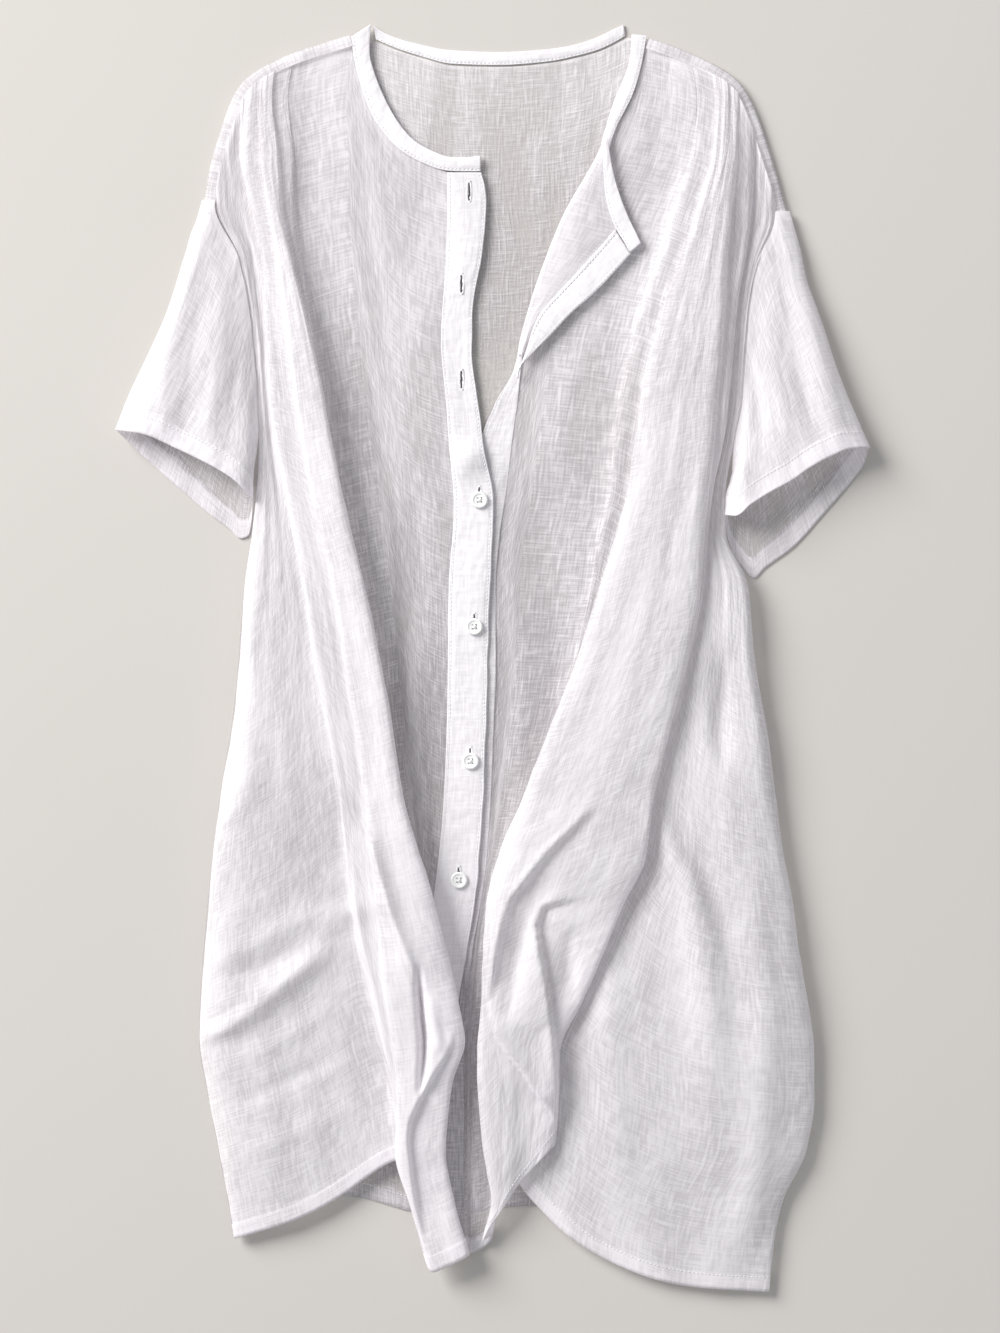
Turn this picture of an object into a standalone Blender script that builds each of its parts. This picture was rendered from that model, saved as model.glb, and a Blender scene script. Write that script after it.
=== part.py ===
"""A short-sleeve linen shirt laid flat on a surface, one solid for each sewn piece.

The neck points to +Y, the open front faces +Z and the surface is z = 0. All sizes below are in
millimetres and become metres when a mesh is made. "Left" is the -X side and "right" the +X side.
"""

import math

import bmesh
import bpy
import numpy as np

MM = 0.001

# Moves the outlines below so that the whole shirt is centred on the origin
SHIFT = (0.5, -2.0)

# Cloth and gaps
WALL = 1.2
STAND_WALL = 1.8
SEAM_GAP = 0.3
MERGE = 0.00005

# Heights of the inner face of each layer where the shirt lies flat
BACK_LEVEL = WALL
BUTTON_STAND_LEVEL = 1.6
HOLE_STAND_LEVEL = 3.9
NECK_BAND_LEVEL = 3.5
FLAP_LEVEL = 7.8
SHOULDER_ROLL = 2.2
SHOULDER_WRAP = 8.0

# Grid density of the panels
FLAT_STEPS = 4
FOLD_STEPS = 2
STAND_ROWS = 52
NECK_COLUMNS = 8
BACK_BAND_ROWS = 12
RIGHT_BAND_ROWS = 10
FLAP_BAND_ROWS = 8
FLAP_STAND_ROWS = 14

# Every column of a front meets its top line between these two heights (y), found by halving
TOP_LIMIT = 500.0
BOTTOM_LIMIT = 150.0
HALVINGS = 30
# The rows that pass the armhole lie closer together than those below it
ARMHOLE_SHARE = 0.225
ARMHOLE_ROWS = 8
BODY_ROWS = 18
ARMHOLE_GAP = 2.4
BACK_INSET = 4.0
SHOULDER_GAP = 1.2

# Where the back starts to curl up to the side seams (y), and how wide the curl is
CURL_START = 165.0
CURL_WIDTH = 9.0

# Buttons
BUTTON_RADIUS = 6.5
BUTTON_THICK = 2.5
BUTTON_SIDES = 12
HOLE_RADIUS = 0.7
HOLE_OFFSET = 1.5
THREAD_RADIUS = 0.9
SLIT_WIDTH = 2.6
SLIT_LENGTH = 15.0
RIM_WIDTH = 1.6
EDGE_ROUND = 0.7
DISH_DEPTH = 1.0
# Depth of the cutters, well past the cloth or button that they cut
SLIT_CUTTER_DEPTH = 20.0
HOLE_CUTTER_DEPTH = 10.0
HOLE_SIDES = 8

# One row for each section across a front, from the shoulder down to the hem.
# inner: the seam at the button or buttonhole stand, or the roll of the folded-back corner
# foot and crest: where each of the two big folds turns under, and the edge that shows
# low, top_in, top_out, low_out, side_z, edge_z: heights at the seam, on the folds and at the side
SECTION_COLUMNS = (
    "y", "inner", "foot_in", "crest_in", "crest_out", "foot_out", "side",
    "low", "top_in", "top_out", "low_out", "side_z", "edge_z",
)
LEFT_SECTIONS = (
    (490, -33, -152, -166, -178, -190, -217.5, 3.4, 5.6, 5.6, 5.6, 5.6, 5.6),
    (437, -33, -160, -172, -183, -196, -217.5, 3.4, 8, 8, 6, 6, 5.6),
    (398, -34, -156, -167, -182, -198, -217.5, 3.4, 14, 14, 6, 8, 5.6),
    (355, -34, -155, -164, -176, -192, -217.5, 3.4, 19, 18, 6, 8, 5.6),
    (314, -35, -150, -156, -168, -184, -199, 3.4, 22, 20, 6, 8, 8),
    (250, -39, -140, -141, -160, -178, -188, 3.4, 24, 22, 6, 8, 8),
    (200, -35, -133, -130, -154, -174, -185, 3.4, 25, 23, 7, 8, 8),
    (172, -33, -129, -125, -150, -170, -182, 3.4, 26, 24, 8, 9, 7),
    (120, -29, -120, -114, -140, -160, -181, 3.4, 27, 24, 12, 14, 7),
    (55, -33, -106, -98, -125, -148, -193, 3.4, 28, 24, 15, 18, 7),
    (-30, -34, -93, -81, -112, -134, -202, 3.4, 28, 24, 15, 20, 8),
    (-110, -37, -82, -68, -100, -120, -214, 3.4, 28, 24, 14, 20, 8),
    (-187, -45, -66, -45, -92, -112, -223, 3.4, 28, 24, 13, 20, 8),
    (-265, -56, -68, -26, -84, -98, -229, 3.4, 28, 25, 13, 18, 8),
    (-296, -58, -70, -21, -80, -90, -230, 3.4, 28, 25, 12, 17, 8),
    (-330, -60, -70, -31, -76, -80, -225, 3.4, 27, 25, 10, 16, 8),
    (-382, -64, -68, -36, -77, -73, -215, 3.4, 24, 24, 8, 14, 7),
    (-420, -58, -62, -30, -67, -66, -208, 3.4, 22, 22, 7, 12, 7),
    (-478, -44, -46, -14, -50, -49, -198, 3.4, 18, 18, 6, 9, 5),
)
RIGHT_SECTIONS = (
    (490, 86, 150, 164, 180, 192, 219.5, 2.4, 5, 5, 5.6, 5.6, 5.6),
    (437, 86, 160, 174, 190, 200, 219.5, 2.2, 8, 8, 6, 6, 5.6),
    (398, 85, 156, 172, 189, 203, 219.5, 1.8, 14, 14, 6, 8, 5.6),
    (347, 57, 140, 158, 184, 200, 219.5, 1.6, 20, 20, 6, 8, 5.6),
    (310, 42, 128, 146, 181, 195, 206, 1.6, 22, 22, 6, 8, 8),
    (281, 32, 118, 136, 179, 190, 200, 1.6, 23, 23, 6, 8, 8),
    (242, 22, 108, 125, 176, 186, 196, 1.6, 24, 24, 7, 8, 8),
    (203, 18, 100, 116, 173, 183, 193, 1.6, 24, 24, 8, 9, 8),
    (172, 14, 96, 111, 171, 179, 187, 1.6, 25, 25, 8, 9, 7),
    (130, 9, 92, 104, 166, 170, 174, 1.6, 25, 25, 8, 9, 6),
    (98, 4, 84, 96, 163, 166, 174, 1.6, 25, 25, 9, 10, 6),
    (58, 1, 78, 84, 160, 162, 196, 1.6, 25, 25, 12, 16, 7),
    (0, 1, 66, 66, 149, 150, 203, 1.6, 25, 26, 13, 18, 8),
    (-62, -1, 47, 42, 134, 132, 213, 1.6, 26, 26, 12, 18, 8),
    (-109, -3, 32, 24, 123, 120, 219, 1.6, 27, 27, 10, 18, 8),
    (-156, -6, 14, 4, 117, 110, 226, 1.6, 28, 27, 9, 19, 8),
    (-187, -10, 6, -4, 102, 90, 232, 1.6, 28, 26, 9, 20, 8),
    (-226, -17, 4, -7, 85, 70, 237, 1.6, 28, 25, 9, 20, 8),
    (-265, -21, 2, -9, 68, 50, 244, 1.6, 28, 24, 9, 20, 8),
    (-304, -24, 0, -12, 51, 30, 249, 1.6, 27, 22, 8, 19, 8),
    (-343, -24, 0, -11, 50, 28, 250, 1.6, 25, 20, 8, 17, 8),
    (-382, -24, 2, -7, 47, 24, 244, 1.6, 22, 17, 7, 15, 7),
    (-421, -24, 4, -1, 26, 14, 226, 1.6, 16, 12, 6, 12, 6),
    (-456, -24, 0, -8, 5, 3, 218, 1.6, 10, 8, 5, 10, 6),
    (-498, -24, 0, -8, 5, 3, 214, 1.6, 8, 8, 5, 7, 5),
)

# Soft gathers that cross a front: y, x of the ridge, height (below zero for a valley), half width
LEFT_GATHERS = (
    ((-120, -106, 0, 10), (-170, -90, 5, 10), (-226, -72, 6, 10), (-262, -56, 0, 8)),
    ((-190, -110, 0, 12), (-250, -160, 5, 14), (-285, -205, 5, 14), (-300, -226, 0, 12)),
    ((-50, -195, 0, 10), (-90, -190, 4, 11), (-130, -202, 0, 10)),
)
RIGHT_GATHERS = (
    ((-100, 124, 0, 8), (-140, 133, 5, 10), (-187, 157, 6, 12), (-260, 168, 5, 14), (-420, 172, 0, 16)),
    ((20, 180, 0, 8), (-45, 178, -6, 9), (-90, 180, 0, 9)),
    ((-190, 100, 0, 12), (-260, 92, 5, 14), (-340, 96, 5, 16), (-450, 110, 0, 16)),
    ((-190, 196, 0, 12), (-280, 212, 4, 12), (-400, 205, 4, 14), (-480, 190, 0, 14)),
)

# Height of the hem (y) at each control point of a section, in the order that section_frame gives
LEFT_HEM = (-440, -440, -440, -442, -450, -456, -466, -472, -478, -466, -400, -384, -431, -452, -452)
RIGHT_HEM = (-452, -453, -454, -455, -456, -456, -430, -403, -376, -380, -396, -412, -486, -494, -493)

# Outlines in plan, x then y
LEFT_NECK = (
    (-110, 476), (-107, 462), (-102, 444), (-94, 424), (-84, 410), (-72, 398), (-56, 389), (-42, 383),
    (-32, 380), (-20, 380),
)
RIGHT_NECK = ((83, 399), (86, 402), (96, 416), (105, 430), (110, 441), (115, 456), (117.5, 471))
LEFT_SHOULDER = (
    (-227, 358), (-222, 387), (-214, 413), (-206, 437), (-196, 454), (-183, 463), (-160, 474),
    (-136, 482), (-113, 489),
)
RIGHT_SHOULDER = (
    (230, 350), (221, 382), (213, 408), (204, 433), (196, 449), (184, 460), (161, 472),
    (140, 481), (122, 487),
)
BACK_NECK = (
    (-93, 484), (-73, 476), (-53, 470), (-34, 465), (5, 464), (44, 467), (64, 471), (83, 476),
    (99, 484), (105, 487),
)
BACK_HEM = (
    (-200, -446), (-124, -418), (-96, -423), (-64, -432), (-34, -434), (5, -428), (36, -427),
    (83, -441), (161, -472), (212, -488),
)
NECK_BAND_LEFT_START = (-111, 487)
NECK_BAND_LEFT_END = ((-28, 382), (-10, 382))
NECK_HOLE_LEFT = (
    (-96, 497), (-97, 475), (-92, 456), (-85, 439), (-75, 421), (-62, 406), (-46, 397),
    (-34, 393), (-22, 393), (-10, 394),
)
NECK_GAP = 0.8
NECK_BAND_BACK = (
    ((-92, 485.6), (-73, 477.5), (-53, 471.5), (-34, 466.5), (5, 465.5), (44, 468.5),
     (64, 472.5), (83, 477.8), (99, 485.8), (103, 488.5)),
    ((-94, 496), (-80, 488), (-55, 481), (-34, 477), (5, 475.6), (44, 478), (66, 482),
     (83, 488), (95, 494), (102, 497)),
)
NECK_BAND_RIGHT = (
    ((119.5, 488), (117, 472), (113.6, 457), (108.8, 442), (103, 430), (94, 417)),
    ((108, 489), (107.5, 476), (105, 463), (99, 448), (93, 433), (88, 419)),
)
NECK_BAND_FLAP = (
    ((87.5, 398), (86, 386), (87, 368), (91, 350), (95.5, 338), (103, 324.5), (106.5, 318.5)),
    ((87, 412), (90, 398), (94, 378), (100, 359), (107, 342), (112.5, 331), (115, 325)),
)
# The folded-back corner's stitch line, from the top of the roll to its foot
FLAP_STITCH = (
    (86.5, 399), (83, 384), (84, 368), (88, 350), (90.5, 336), (79, 321), (64, 304), (48, 288),
    (33, 271), (26, 254), (21.5, 236),
)
PLACKET_FLAP = (
    ((18, 222), (23, 233), (29, 253), (35.5, 269), (50, 286), (65, 302), (80, 318.6), (93, 334.5)),
    ((19, 220), (19, 226), (29, 238), (45, 254), (61, 271), (76, 284), (89, 297), (105, 316)),
)

# Free edge of the buttonhole stand: y, x
LEFT_STAND = (
    (381, -11), (359, -5), (320, -8), (281, -15), (242, -17), (203, -12), (164, -7), (125, 0), (86, -1),
    (47, -3), (-31, -5), (-109, -8), (-187, -14), (-265, -27), (-300, -30), (-343, -36), (-382, -39),
    (-420, -34), (-438, -32),
)
# Free edge of the button stand below it: y, x
RIGHT_STAND = (
    (213, 9), (205, 4), (195, -3), (179, -8), (164, -12), (140, -18), (125, -23), (78, -28), (0, -29),
    (-62, -31), (-109, -33), (-156, -36), (-187, -40), (-226, -47), (-265, -51), (-304, -54), (-450, -54),
)
# The trapped button lifts the buttonhole stand: x, y, lift, spread
STAND_LIFT = (-19, 158, 5.2, 13)

# Slits down the buttonhole stand and the buttons that show, x then y
OPEN_SLITS = ((-19, 366), (-25, 294), (-25, 219))
FASTENED = ((-11, 125), (-15, 26), (-18, -79), (-27, -172))
SLIT_RISE = 3.0
# Hidden buttons: x, y, height of the lower face
HIDDEN_BUTTONS = ((97, 319, 3.1), (52, 274, 3.1), (-19, 158, 3.7))

# Sleeves in plan. start: the armhole's outer end. out and in: the tube's two edges, from the armhole
# to the mouth. front and back: the mouth's two lips
LEFT_SLEEVE = {
    "start": (-229.4, 350),
    "out": ((-229.4, 350), (-236, 333), (-241, 314), (-255, 269), (-265, 246), (-283, 207), (-294, 179)),
    "in": ((-187, 150), (-188, 125)),
    "front": ((-294, 179), (-280, 177), (-268, 174), (-248, 165), (-229, 156), (-202, 140), (-188, 125)),
    "back": ((-294, 179), (-276, 161), (-241, 130), (-217, 110), (-206, 102), (-198, 95), (-192, 97),
             (-189, 111), (-188, 125)),
}
RIGHT_SLEEVE = {
    "start": (232, 341),
    "out": ((232, 341), (238, 320), (244, 296), (252, 273), (269, 222), (285, 183), (293, 165)),
    "in": ((187, 148), (182, 129), (181, 113)),
    "front": ((293, 165), (278, 164), (262, 158), (247, 150), (231, 139), (216, 131), (200, 121),
              (188, 112), (181, 113)),
    "back": ((293, 165), (290, 154), (281, 141), (258, 114), (234, 88), (211, 71), (204, 64),
             (194, 74), (186, 87), (182, 101), (181, 113)),
}
# Heights along a sleeve from armhole to mouth: share of the way, top of the cloth, mid edge
SLEEVE_HEIGHTS = ((0.0, 8.0, 5.0), (0.3, 15.0, 8.0), (0.7, 21.0, 11.0), (1.0, 24.0, 13.0))
SLEEVE_ROWS = 9
UNDERARM = 174.0
EDGE_SHARE = 0.16


def smooth_curve(knots, values, at):
    """Values on a smooth curve through the knots, which never swings past them."""
    order = np.argsort(knots)
    knots = np.asarray(knots, float)[order]
    values = np.asarray(values, float)[order]
    steps = np.diff(knots)
    slopes = np.diff(values) / steps
    bends = np.zeros(len(knots))
    bends[0] = slopes[0]
    bends[-1] = slopes[-1]
    same = slopes[1:] * slopes[:-1] > 0
    total = np.where(same, slopes[1:] + slopes[:-1], 1.0)
    bends[1:-1] = np.where(same, 2 * slopes[1:] * slopes[:-1] / total, 0.0)
    at = np.clip(np.asarray(at, float), knots[0], knots[-1])
    span = np.clip(np.searchsorted(knots, at, side="right") - 1, 0, len(steps) - 1)
    width = steps[span]
    t = (at - knots[span]) / width
    near = values[span] * (1 + 2 * t) * (1 - t) ** 2 + values[span + 1] * t * t * (3 - 2 * t)
    return near + width * t * (1 - t) * (bends[span] * (1 - t) - bends[span + 1] * t)


def along(points, count_or_shares):
    """Points at even shares of the length of a line through the given points."""
    points = np.asarray(points, float)
    reach = np.concatenate([[0.0], np.cumsum(np.linalg.norm(np.diff(points, axis=0), axis=1))])
    shares = np.linspace(0, 1, count_or_shares) if np.isscalar(count_or_shares) else count_or_shares
    spots = np.asarray(shares) * reach[-1]
    return np.stack([smooth_curve(reach, points[:, k], spots) for k in range(points.shape[1])], axis=-1)


def section_frame(sections, y):
    """The control points (x, z) of the section across a front at each height y."""
    table = np.asarray(sections, float)
    row = {
        name: smooth_curve(table[:, 0], table[:, k], y)
        for k, name in enumerate(SECTION_COLUMNS)
        if k
    }
    mid_in = (row["low"] + row["top_in"]) / 2
    mid_out = (row["low_out"] + row["top_out"]) / 2
    third = (row["crest_out"] - row["crest_in"]) / 3
    return (
        (row["inner"], row["low"]),
        ((row["inner"] + row["foot_in"]) / 2, row["low"]),
        (row["foot_in"], row["low"]),
        (row["foot_in"], mid_in),
        (row["crest_in"], mid_in),
        (row["crest_in"], row["top_in"]),
        (row["crest_in"] + third, row["top_in"] + 1),
        (row["crest_in"] + 2 * third, row["top_out"] + 1),
        (row["crest_out"], row["top_out"]),
        (row["crest_out"], mid_out),
        (row["foot_out"], mid_out),
        (row["foot_out"], row["low_out"]),
        ((row["foot_out"] + row["side"]) / 2, row["side_z"]),
        (row["side"], row["side_z"]),
        (row["side"], row["edge_z"]),
    )


def blend_weights(count, u):
    """For a smooth line guided by count points: the first of three points at u, and their weights."""
    spans = count - 2
    first = np.clip(np.floor(u * spans).astype(int), 0, spans - 1)
    t = u * spans - first
    weights = np.stack([(1 - t) ** 2 / 2, (1 + 2 * t - 2 * t * t) / 2, t * t / 2])
    starts = first == 0
    weights[0] = np.where(starts, (1 - t) ** 2, weights[0])
    weights[1] = np.where(starts, 2 * t - 1.5 * t * t, weights[1])
    ends = first == spans - 1
    s = 1 - t
    weights[2] = np.where(ends, (1 - s) ** 2, weights[2])
    weights[1] = np.where(ends, 2 * s - 1.5 * s * s, weights[1])
    weights[0] = np.where(ends, s * s / 2, weights[0])
    return first, weights


def front_point(sections, gathers, u, y):
    """The place (x, z) on a front at share u of its section and height y."""
    frame = np.array(section_frame(sections, y))
    first, weights = blend_weights(len(frame), u)
    spot = np.arange(len(u))
    xz = sum(weights[k][:, None] * frame[first + k, :, spot] for k in range(3))
    x = xz[:, 0]
    z = xz[:, 1]
    for gather in gathers:
        rows = np.asarray(gather, float)
        inside = (y <= rows[:, 0].max()) & (y >= rows[:, 0].min())
        ridge_x = smooth_curve(rows[:, 0], rows[:, 1], y)
        height = smooth_curve(rows[:, 0], rows[:, 2], y) * inside
        half = smooth_curve(rows[:, 0], rows[:, 3], y)
        z = z + height * np.exp(-((x - ridge_x) / half) ** 2)
    return x, z


def row_shares():
    """How far down a panel each of its rows lies, from 0 at the top to 1 at the hem."""
    upper = np.linspace(0, ARMHOLE_SHARE, ARMHOLE_ROWS)
    return np.concatenate([upper, np.linspace(ARMHOLE_SHARE, 1, BODY_ROWS)[1:]])


def front_grid(sections, gathers, top_line, hem):
    """Rows of points over a whole front, from its top line down to its hem."""
    spans = len(hem) - 2
    flat = np.linspace(0, 2, 2 * FLAT_STEPS + 1)
    folds = np.linspace(2, spans, (spans - 2) * FOLD_STEPS + 1)
    u = np.concatenate([flat, folds[1:]]) / spans
    line = np.array(sorted(top_line))
    above = np.full(len(u), TOP_LIMIT)
    below = np.full(len(u), BOTTOM_LIMIT)
    for _ in range(HALVINGS):
        middle = (above + below) / 2
        x, _ = front_point(sections, gathers, u, middle)
        outside = middle > np.interp(x, line[:, 0], line[:, 1])
        above = np.where(outside, middle, above)
        below = np.where(outside, below, middle)
    first, weights = blend_weights(len(hem), u)
    hem_y = sum(weights[k] * np.array(hem, float)[first + k] for k in range(3))
    rows = []
    for v in row_shares():
        y = below + (hem_y - below) * v
        x, z = front_point(sections, gathers, u, y)
        rows.append(np.stack([x, y, z], axis=-1))
    return np.array(rows)


def fabric(name, color, roughness):
    material = bpy.data.materials.new(name)
    material.use_nodes = True
    shader = material.node_tree.nodes["Principled BSDF"]
    shader.inputs["Base Color"].default_value = (*color, 1)
    shader.inputs["Roughness"].default_value = roughness
    shader.inputs["Metallic"].default_value = 0
    return material


def add_grid(mesh, rows):
    """Adds a grid through rows of points (millimetres) to a bmesh."""
    rows = np.asarray(rows) * MM
    count_v, count_u = rows.shape[:2]
    made = bmesh.ops.create_grid(mesh, x_segments=count_u - 1, y_segments=count_v - 1, size=0.5)
    for vert in made["verts"]:
        i = round((vert.co.x + 0.5) * (count_u - 1))
        j = round((vert.co.y + 0.5) * (count_v - 1))
        vert.co = rows[j, i]


def wall_from_sheet(name, grids, wall, material, upward):
    """One cloth wall over its inner sheet, growing up or down; upward is None for a tube."""
    mesh = bmesh.new()
    for rows in grids:
        add_grid(mesh, rows)
    bmesh.ops.remove_doubles(mesh, verts=mesh.verts, dist=MERGE)
    bmesh.ops.recalc_face_normals(mesh, faces=mesh.faces)
    mesh.normal_update()
    middle = sum(face.calc_center_median().z for face in mesh.faces) / len(mesh.faces)
    if upward is None:
        facing = sum(f.normal.z * (f.calc_center_median().z - middle) * f.calc_area() for f in mesh.faces)
        wrong = facing < 0
    else:
        facing = sum(face.normal.z * face.calc_area() for face in mesh.faces)
        wrong = (facing > 0) != upward
    if wrong:
        bmesh.ops.reverse_faces(mesh, faces=mesh.faces)
    data = bpy.data.meshes.new(name)
    mesh.to_mesh(data)
    mesh.free()
    piece = bpy.data.objects.new(name, data)
    bpy.context.collection.objects.link(piece)
    data.materials.append(material)
    data.shade_smooth()
    thicken = piece.modifiers.new("wall", "SOLIDIFY")
    thicken.thickness = wall * MM
    thicken.offset = 1
    return piece


def make_left_front(cloth):
    shoulder = inset_line(LEFT_SHOULDER, 1, SHOULDER_WRAP + SHOULDER_GAP)
    grid = front_grid(LEFT_SECTIONS, LEFT_GATHERS, [*map(tuple, shoulder), *LEFT_NECK], LEFT_HEM)
    wall_from_sheet("front_left", [grid], WALL, cloth, True)
    return grid


def make_right_front(cloth):
    """The right front, with its top corner rolled over and laid back on it."""
    shoulder = inset_line(RIGHT_SHOULDER, -1, SHOULDER_WRAP + SHOULDER_GAP)
    grid = front_grid(RIGHT_SECTIONS, RIGHT_GATHERS, [*map(tuple, shoulder), *RIGHT_NECK], RIGHT_HEM)
    roll_foot = FLAP_STITCH[-1][1]
    roll = grid[grid[:, 0, 1] >= roll_foot, 0]
    reach = roll[0, 1] - roll[-1, 1]
    stitch = along(FLAP_STITCH, (roll[0, 1] - roll[:, 1]) / reach)
    flap = []
    for start, end in zip(roll, stitch):
        radius = (FLAP_LEVEL - start[2]) / 2
        turn = [
            (start[0] - radius * math.sin(a), start[1], start[2] + radius * (1 - math.cos(a)))
            for a in np.linspace(0, math.pi, 5)
        ]
        flat = [
            (start[0] + (end[0] - start[0]) * t, start[1] + (end[1] - start[1]) * t, FLAP_LEVEL)
            for t in (0.5, 1.0)
        ]
        flap.append(turn + flat)
    wall_from_sheet("front_right", [grid, np.array(flap)], WALL, cloth, True)
    return grid


def inset_line(points, inward_side, distance):
    """The line through the points, moved sideways. inward_side: 1 to its right, -1 to its left."""
    points = np.asarray(points, float)
    run = np.gradient(points, axis=0)
    run /= np.linalg.norm(run, axis=1)[:, None]
    return points + np.stack([run[:, 1], -run[:, 0]], axis=-1) * inward_side * distance


def shoulder_wrap(points, inward_side):
    """Rows of points that carry the back over a shoulder edge to the seam with the front."""
    rows = []
    for angle in np.linspace(0, math.pi, 5):
        line = inset_line(points, inward_side, WALL + SHOULDER_ROLL * (1 - math.sin(angle)))
        height = BACK_LEVEL + SHOULDER_ROLL * (1 - math.cos(angle))
        rows.append(np.column_stack([line, np.full(len(line), height)]))
    seam = inset_line(points, inward_side, SHOULDER_WRAP)
    rows.append(np.column_stack([seam, np.full(len(seam), BACK_LEVEL + 2 * SHOULDER_ROLL)]))
    return np.array(rows)


def make_back(cloth):
    """The back lies on the surface, curls up at its sides and wraps over each shoulder."""
    side = SECTION_COLUMNS.index("side")
    edge = SECTION_COLUMNS.index("edge_z")
    left = np.asarray(LEFT_SECTIONS, float)
    right = np.asarray(RIGHT_SECTIONS, float)
    wrap_left = shoulder_wrap(LEFT_SHOULDER, 1)
    wrap_right = shoulder_wrap(RIGHT_SHOULDER, -1)
    neck = along(BACK_NECK, NECK_COLUMNS)
    top = np.concatenate([wrap_left[0, :, :2], neck, wrap_right[0, ::-1, :2]])
    share = (top[:, 0] - top[0, 0]) / (top[-1, 0] - top[0, 0])
    hem = np.array(BACK_HEM, float)
    hem_y = np.interp(hem[0, 0] + share * (hem[-1, 0] - hem[0, 0]), hem[:, 0], hem[:, 1])
    rows = []
    for v in row_shares():
        y = top[:, 1] + (hem_y - top[:, 1]) * v
        x_left = smooth_curve(left[:, 0], left[:, side], y)
        x_right = smooth_curve(right[:, 0], right[:, side], y)
        x = x_left + CURL_WIDTH + share * (x_right - x_left - 2 * CURL_WIDTH)
        if v == 0:
            x = top[:, 0]
            x_left = x_right = x
        held = BACK_INSET * np.clip((y[0] - CURL_START) / CURL_WIDTH, 0, 1) * (v > 0)
        x_left = x_left + held
        x_right = x_right - held
        row = [(x[k], y[k], BACK_LEVEL) for k in range(len(x))]
        for end, table, outer in ((0, left, x_left[0]), (-1, right, x_right[-1])):
            rise = smooth_curve(table[:, 0], table[:, edge], y[end]) - SEAM_GAP - BACK_LEVEL
            rise *= np.clip((CURL_START - y[end]) / CURL_WIDTH / 3, 0, 1)
            curl = [
                (x[end] + (outer - x[end]) * s, y[end], BACK_LEVEL + rise * (1 - math.sqrt(1 - s * s)))
                for s in (0.5, 0.85, 1.0)
            ]
            row = curl[::-1] + row if end == 0 else row + curl
        rows.append(row)
    return wall_from_sheet("back_panel", [np.array(rows), wrap_left, wrap_right], WALL, cloth, False)


def armhole_ring(sections, start, sign):
    """Points down the armhole, a gap outside the panels: where it starts, then each panel row."""
    table = np.asarray(sections, float)
    top = start[1]
    bottom = UNDERARM
    y = np.linspace(top, bottom, ARMHOLE_ROWS)
    side = smooth_curve(table[:, 0], table[:, SECTION_COLUMNS.index("side")], y)
    return np.column_stack([side + sign * ARMHOLE_GAP, y])


def patch(ring, mouth, edge_out, edge_in, v, u):
    """A row of points, at share v, of the smooth sheet that fills four boundary lines."""
    mouth_at = along(mouth, u)
    out_at = along(edge_out, [v])[0]
    in_at = along(edge_in, [v])[0]
    across = u[:, None]
    corners = (1 - v) * ((1 - across) * ring[0] + across * ring[-1])
    corners = corners + v * ((1 - across) * mouth_at[0] + across * mouth_at[-1])
    return (1 - v) * ring + v * mouth_at + (1 - across) * out_at + across * in_at - corners


def make_sleeve(name, plan, sections, sign, cloth):
    """A flattened tube from the armhole to the open mouth."""
    heights = np.array(SLEEVE_HEIGHTS)
    ring = armhole_ring(sections, plan["start"], sign)
    start = np.array(plan["start"])
    ends = [start, start + (ring[0] - start) * 0.2, start + (ring[0] - start) * 0.5]
    last = ring[-2] + (ring[-1] - ring[-2]) * np.array([[0.5], [0.8], [1.0]])
    ring = np.concatenate([ends, ring[:-1], last])
    reach = np.concatenate([[0.0], np.cumsum(np.linalg.norm(np.diff(ring, axis=0), axis=1))])
    u = reach / reach[-1]
    edge_in = [tuple(ring[-1]), *plan["in"]]
    near = np.clip(np.minimum(u, 1 - u) / EDGE_SHARE, 0, 1)
    crown = np.sqrt(1 - (1 - near) ** 2)
    rows = []
    for v in np.linspace(0, 1, SLEEVE_ROWS):
        top = smooth_curve(heights[:, 0], heights[:, 1], v)
        middle = smooth_curve(heights[:, 0], heights[:, 2], v)
        front = patch(ring, plan["front"], plan["out"], edge_in, v, u)
        back = patch(ring, plan["back"], plan["out"], edge_in, v, u)
        upper = np.column_stack([front, middle + (top - middle) * crown])
        lower = np.column_stack([back, middle - (middle - BACK_LEVEL) * crown])
        rows.append(np.concatenate([upper, lower[::-1][1:]]))
    return wall_from_sheet(name, [np.array(rows)], WALL, cloth, None)


def make_strip(name, edges, level, cloth, count, upward=True, wall=STAND_WALL):
    """A flat strip of doubled cloth between two lines."""
    first, last = along(edges[0], count), along(edges[1], count)
    rows = [first + (last - first) * t for t in (0, 0.5, 1)]
    rows = [np.column_stack([row, np.full(count, level)]) for row in rows]
    return wall_from_sheet(name, [np.array(rows)], wall, cloth, upward)


def make_left_band(panel, cloth):
    """The neck band's left stretch, along the top of the left front and its stand."""
    tip = NECK_BAND_LEFT_START[0]
    edge = panel[0, panel[0, :, 0] > tip][::-1, :2] + (0, NECK_GAP)
    edge = np.concatenate([[NECK_BAND_LEFT_START], edge, NECK_BAND_LEFT_END])
    reach = np.concatenate([[0.0], np.cumsum(np.linalg.norm(np.diff(edge, axis=0), axis=1))])
    hole = along(NECK_HOLE_LEFT, reach / reach[-1])
    rows = [edge + (hole - edge) * t for t in (0, 0.5, 1)]
    rows = [np.column_stack([row, np.full(len(edge), NECK_BAND_LEVEL)]) for row in rows]
    wall_from_sheet("neck_band_left", [np.array(rows)], STAND_WALL, cloth, True)


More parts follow.
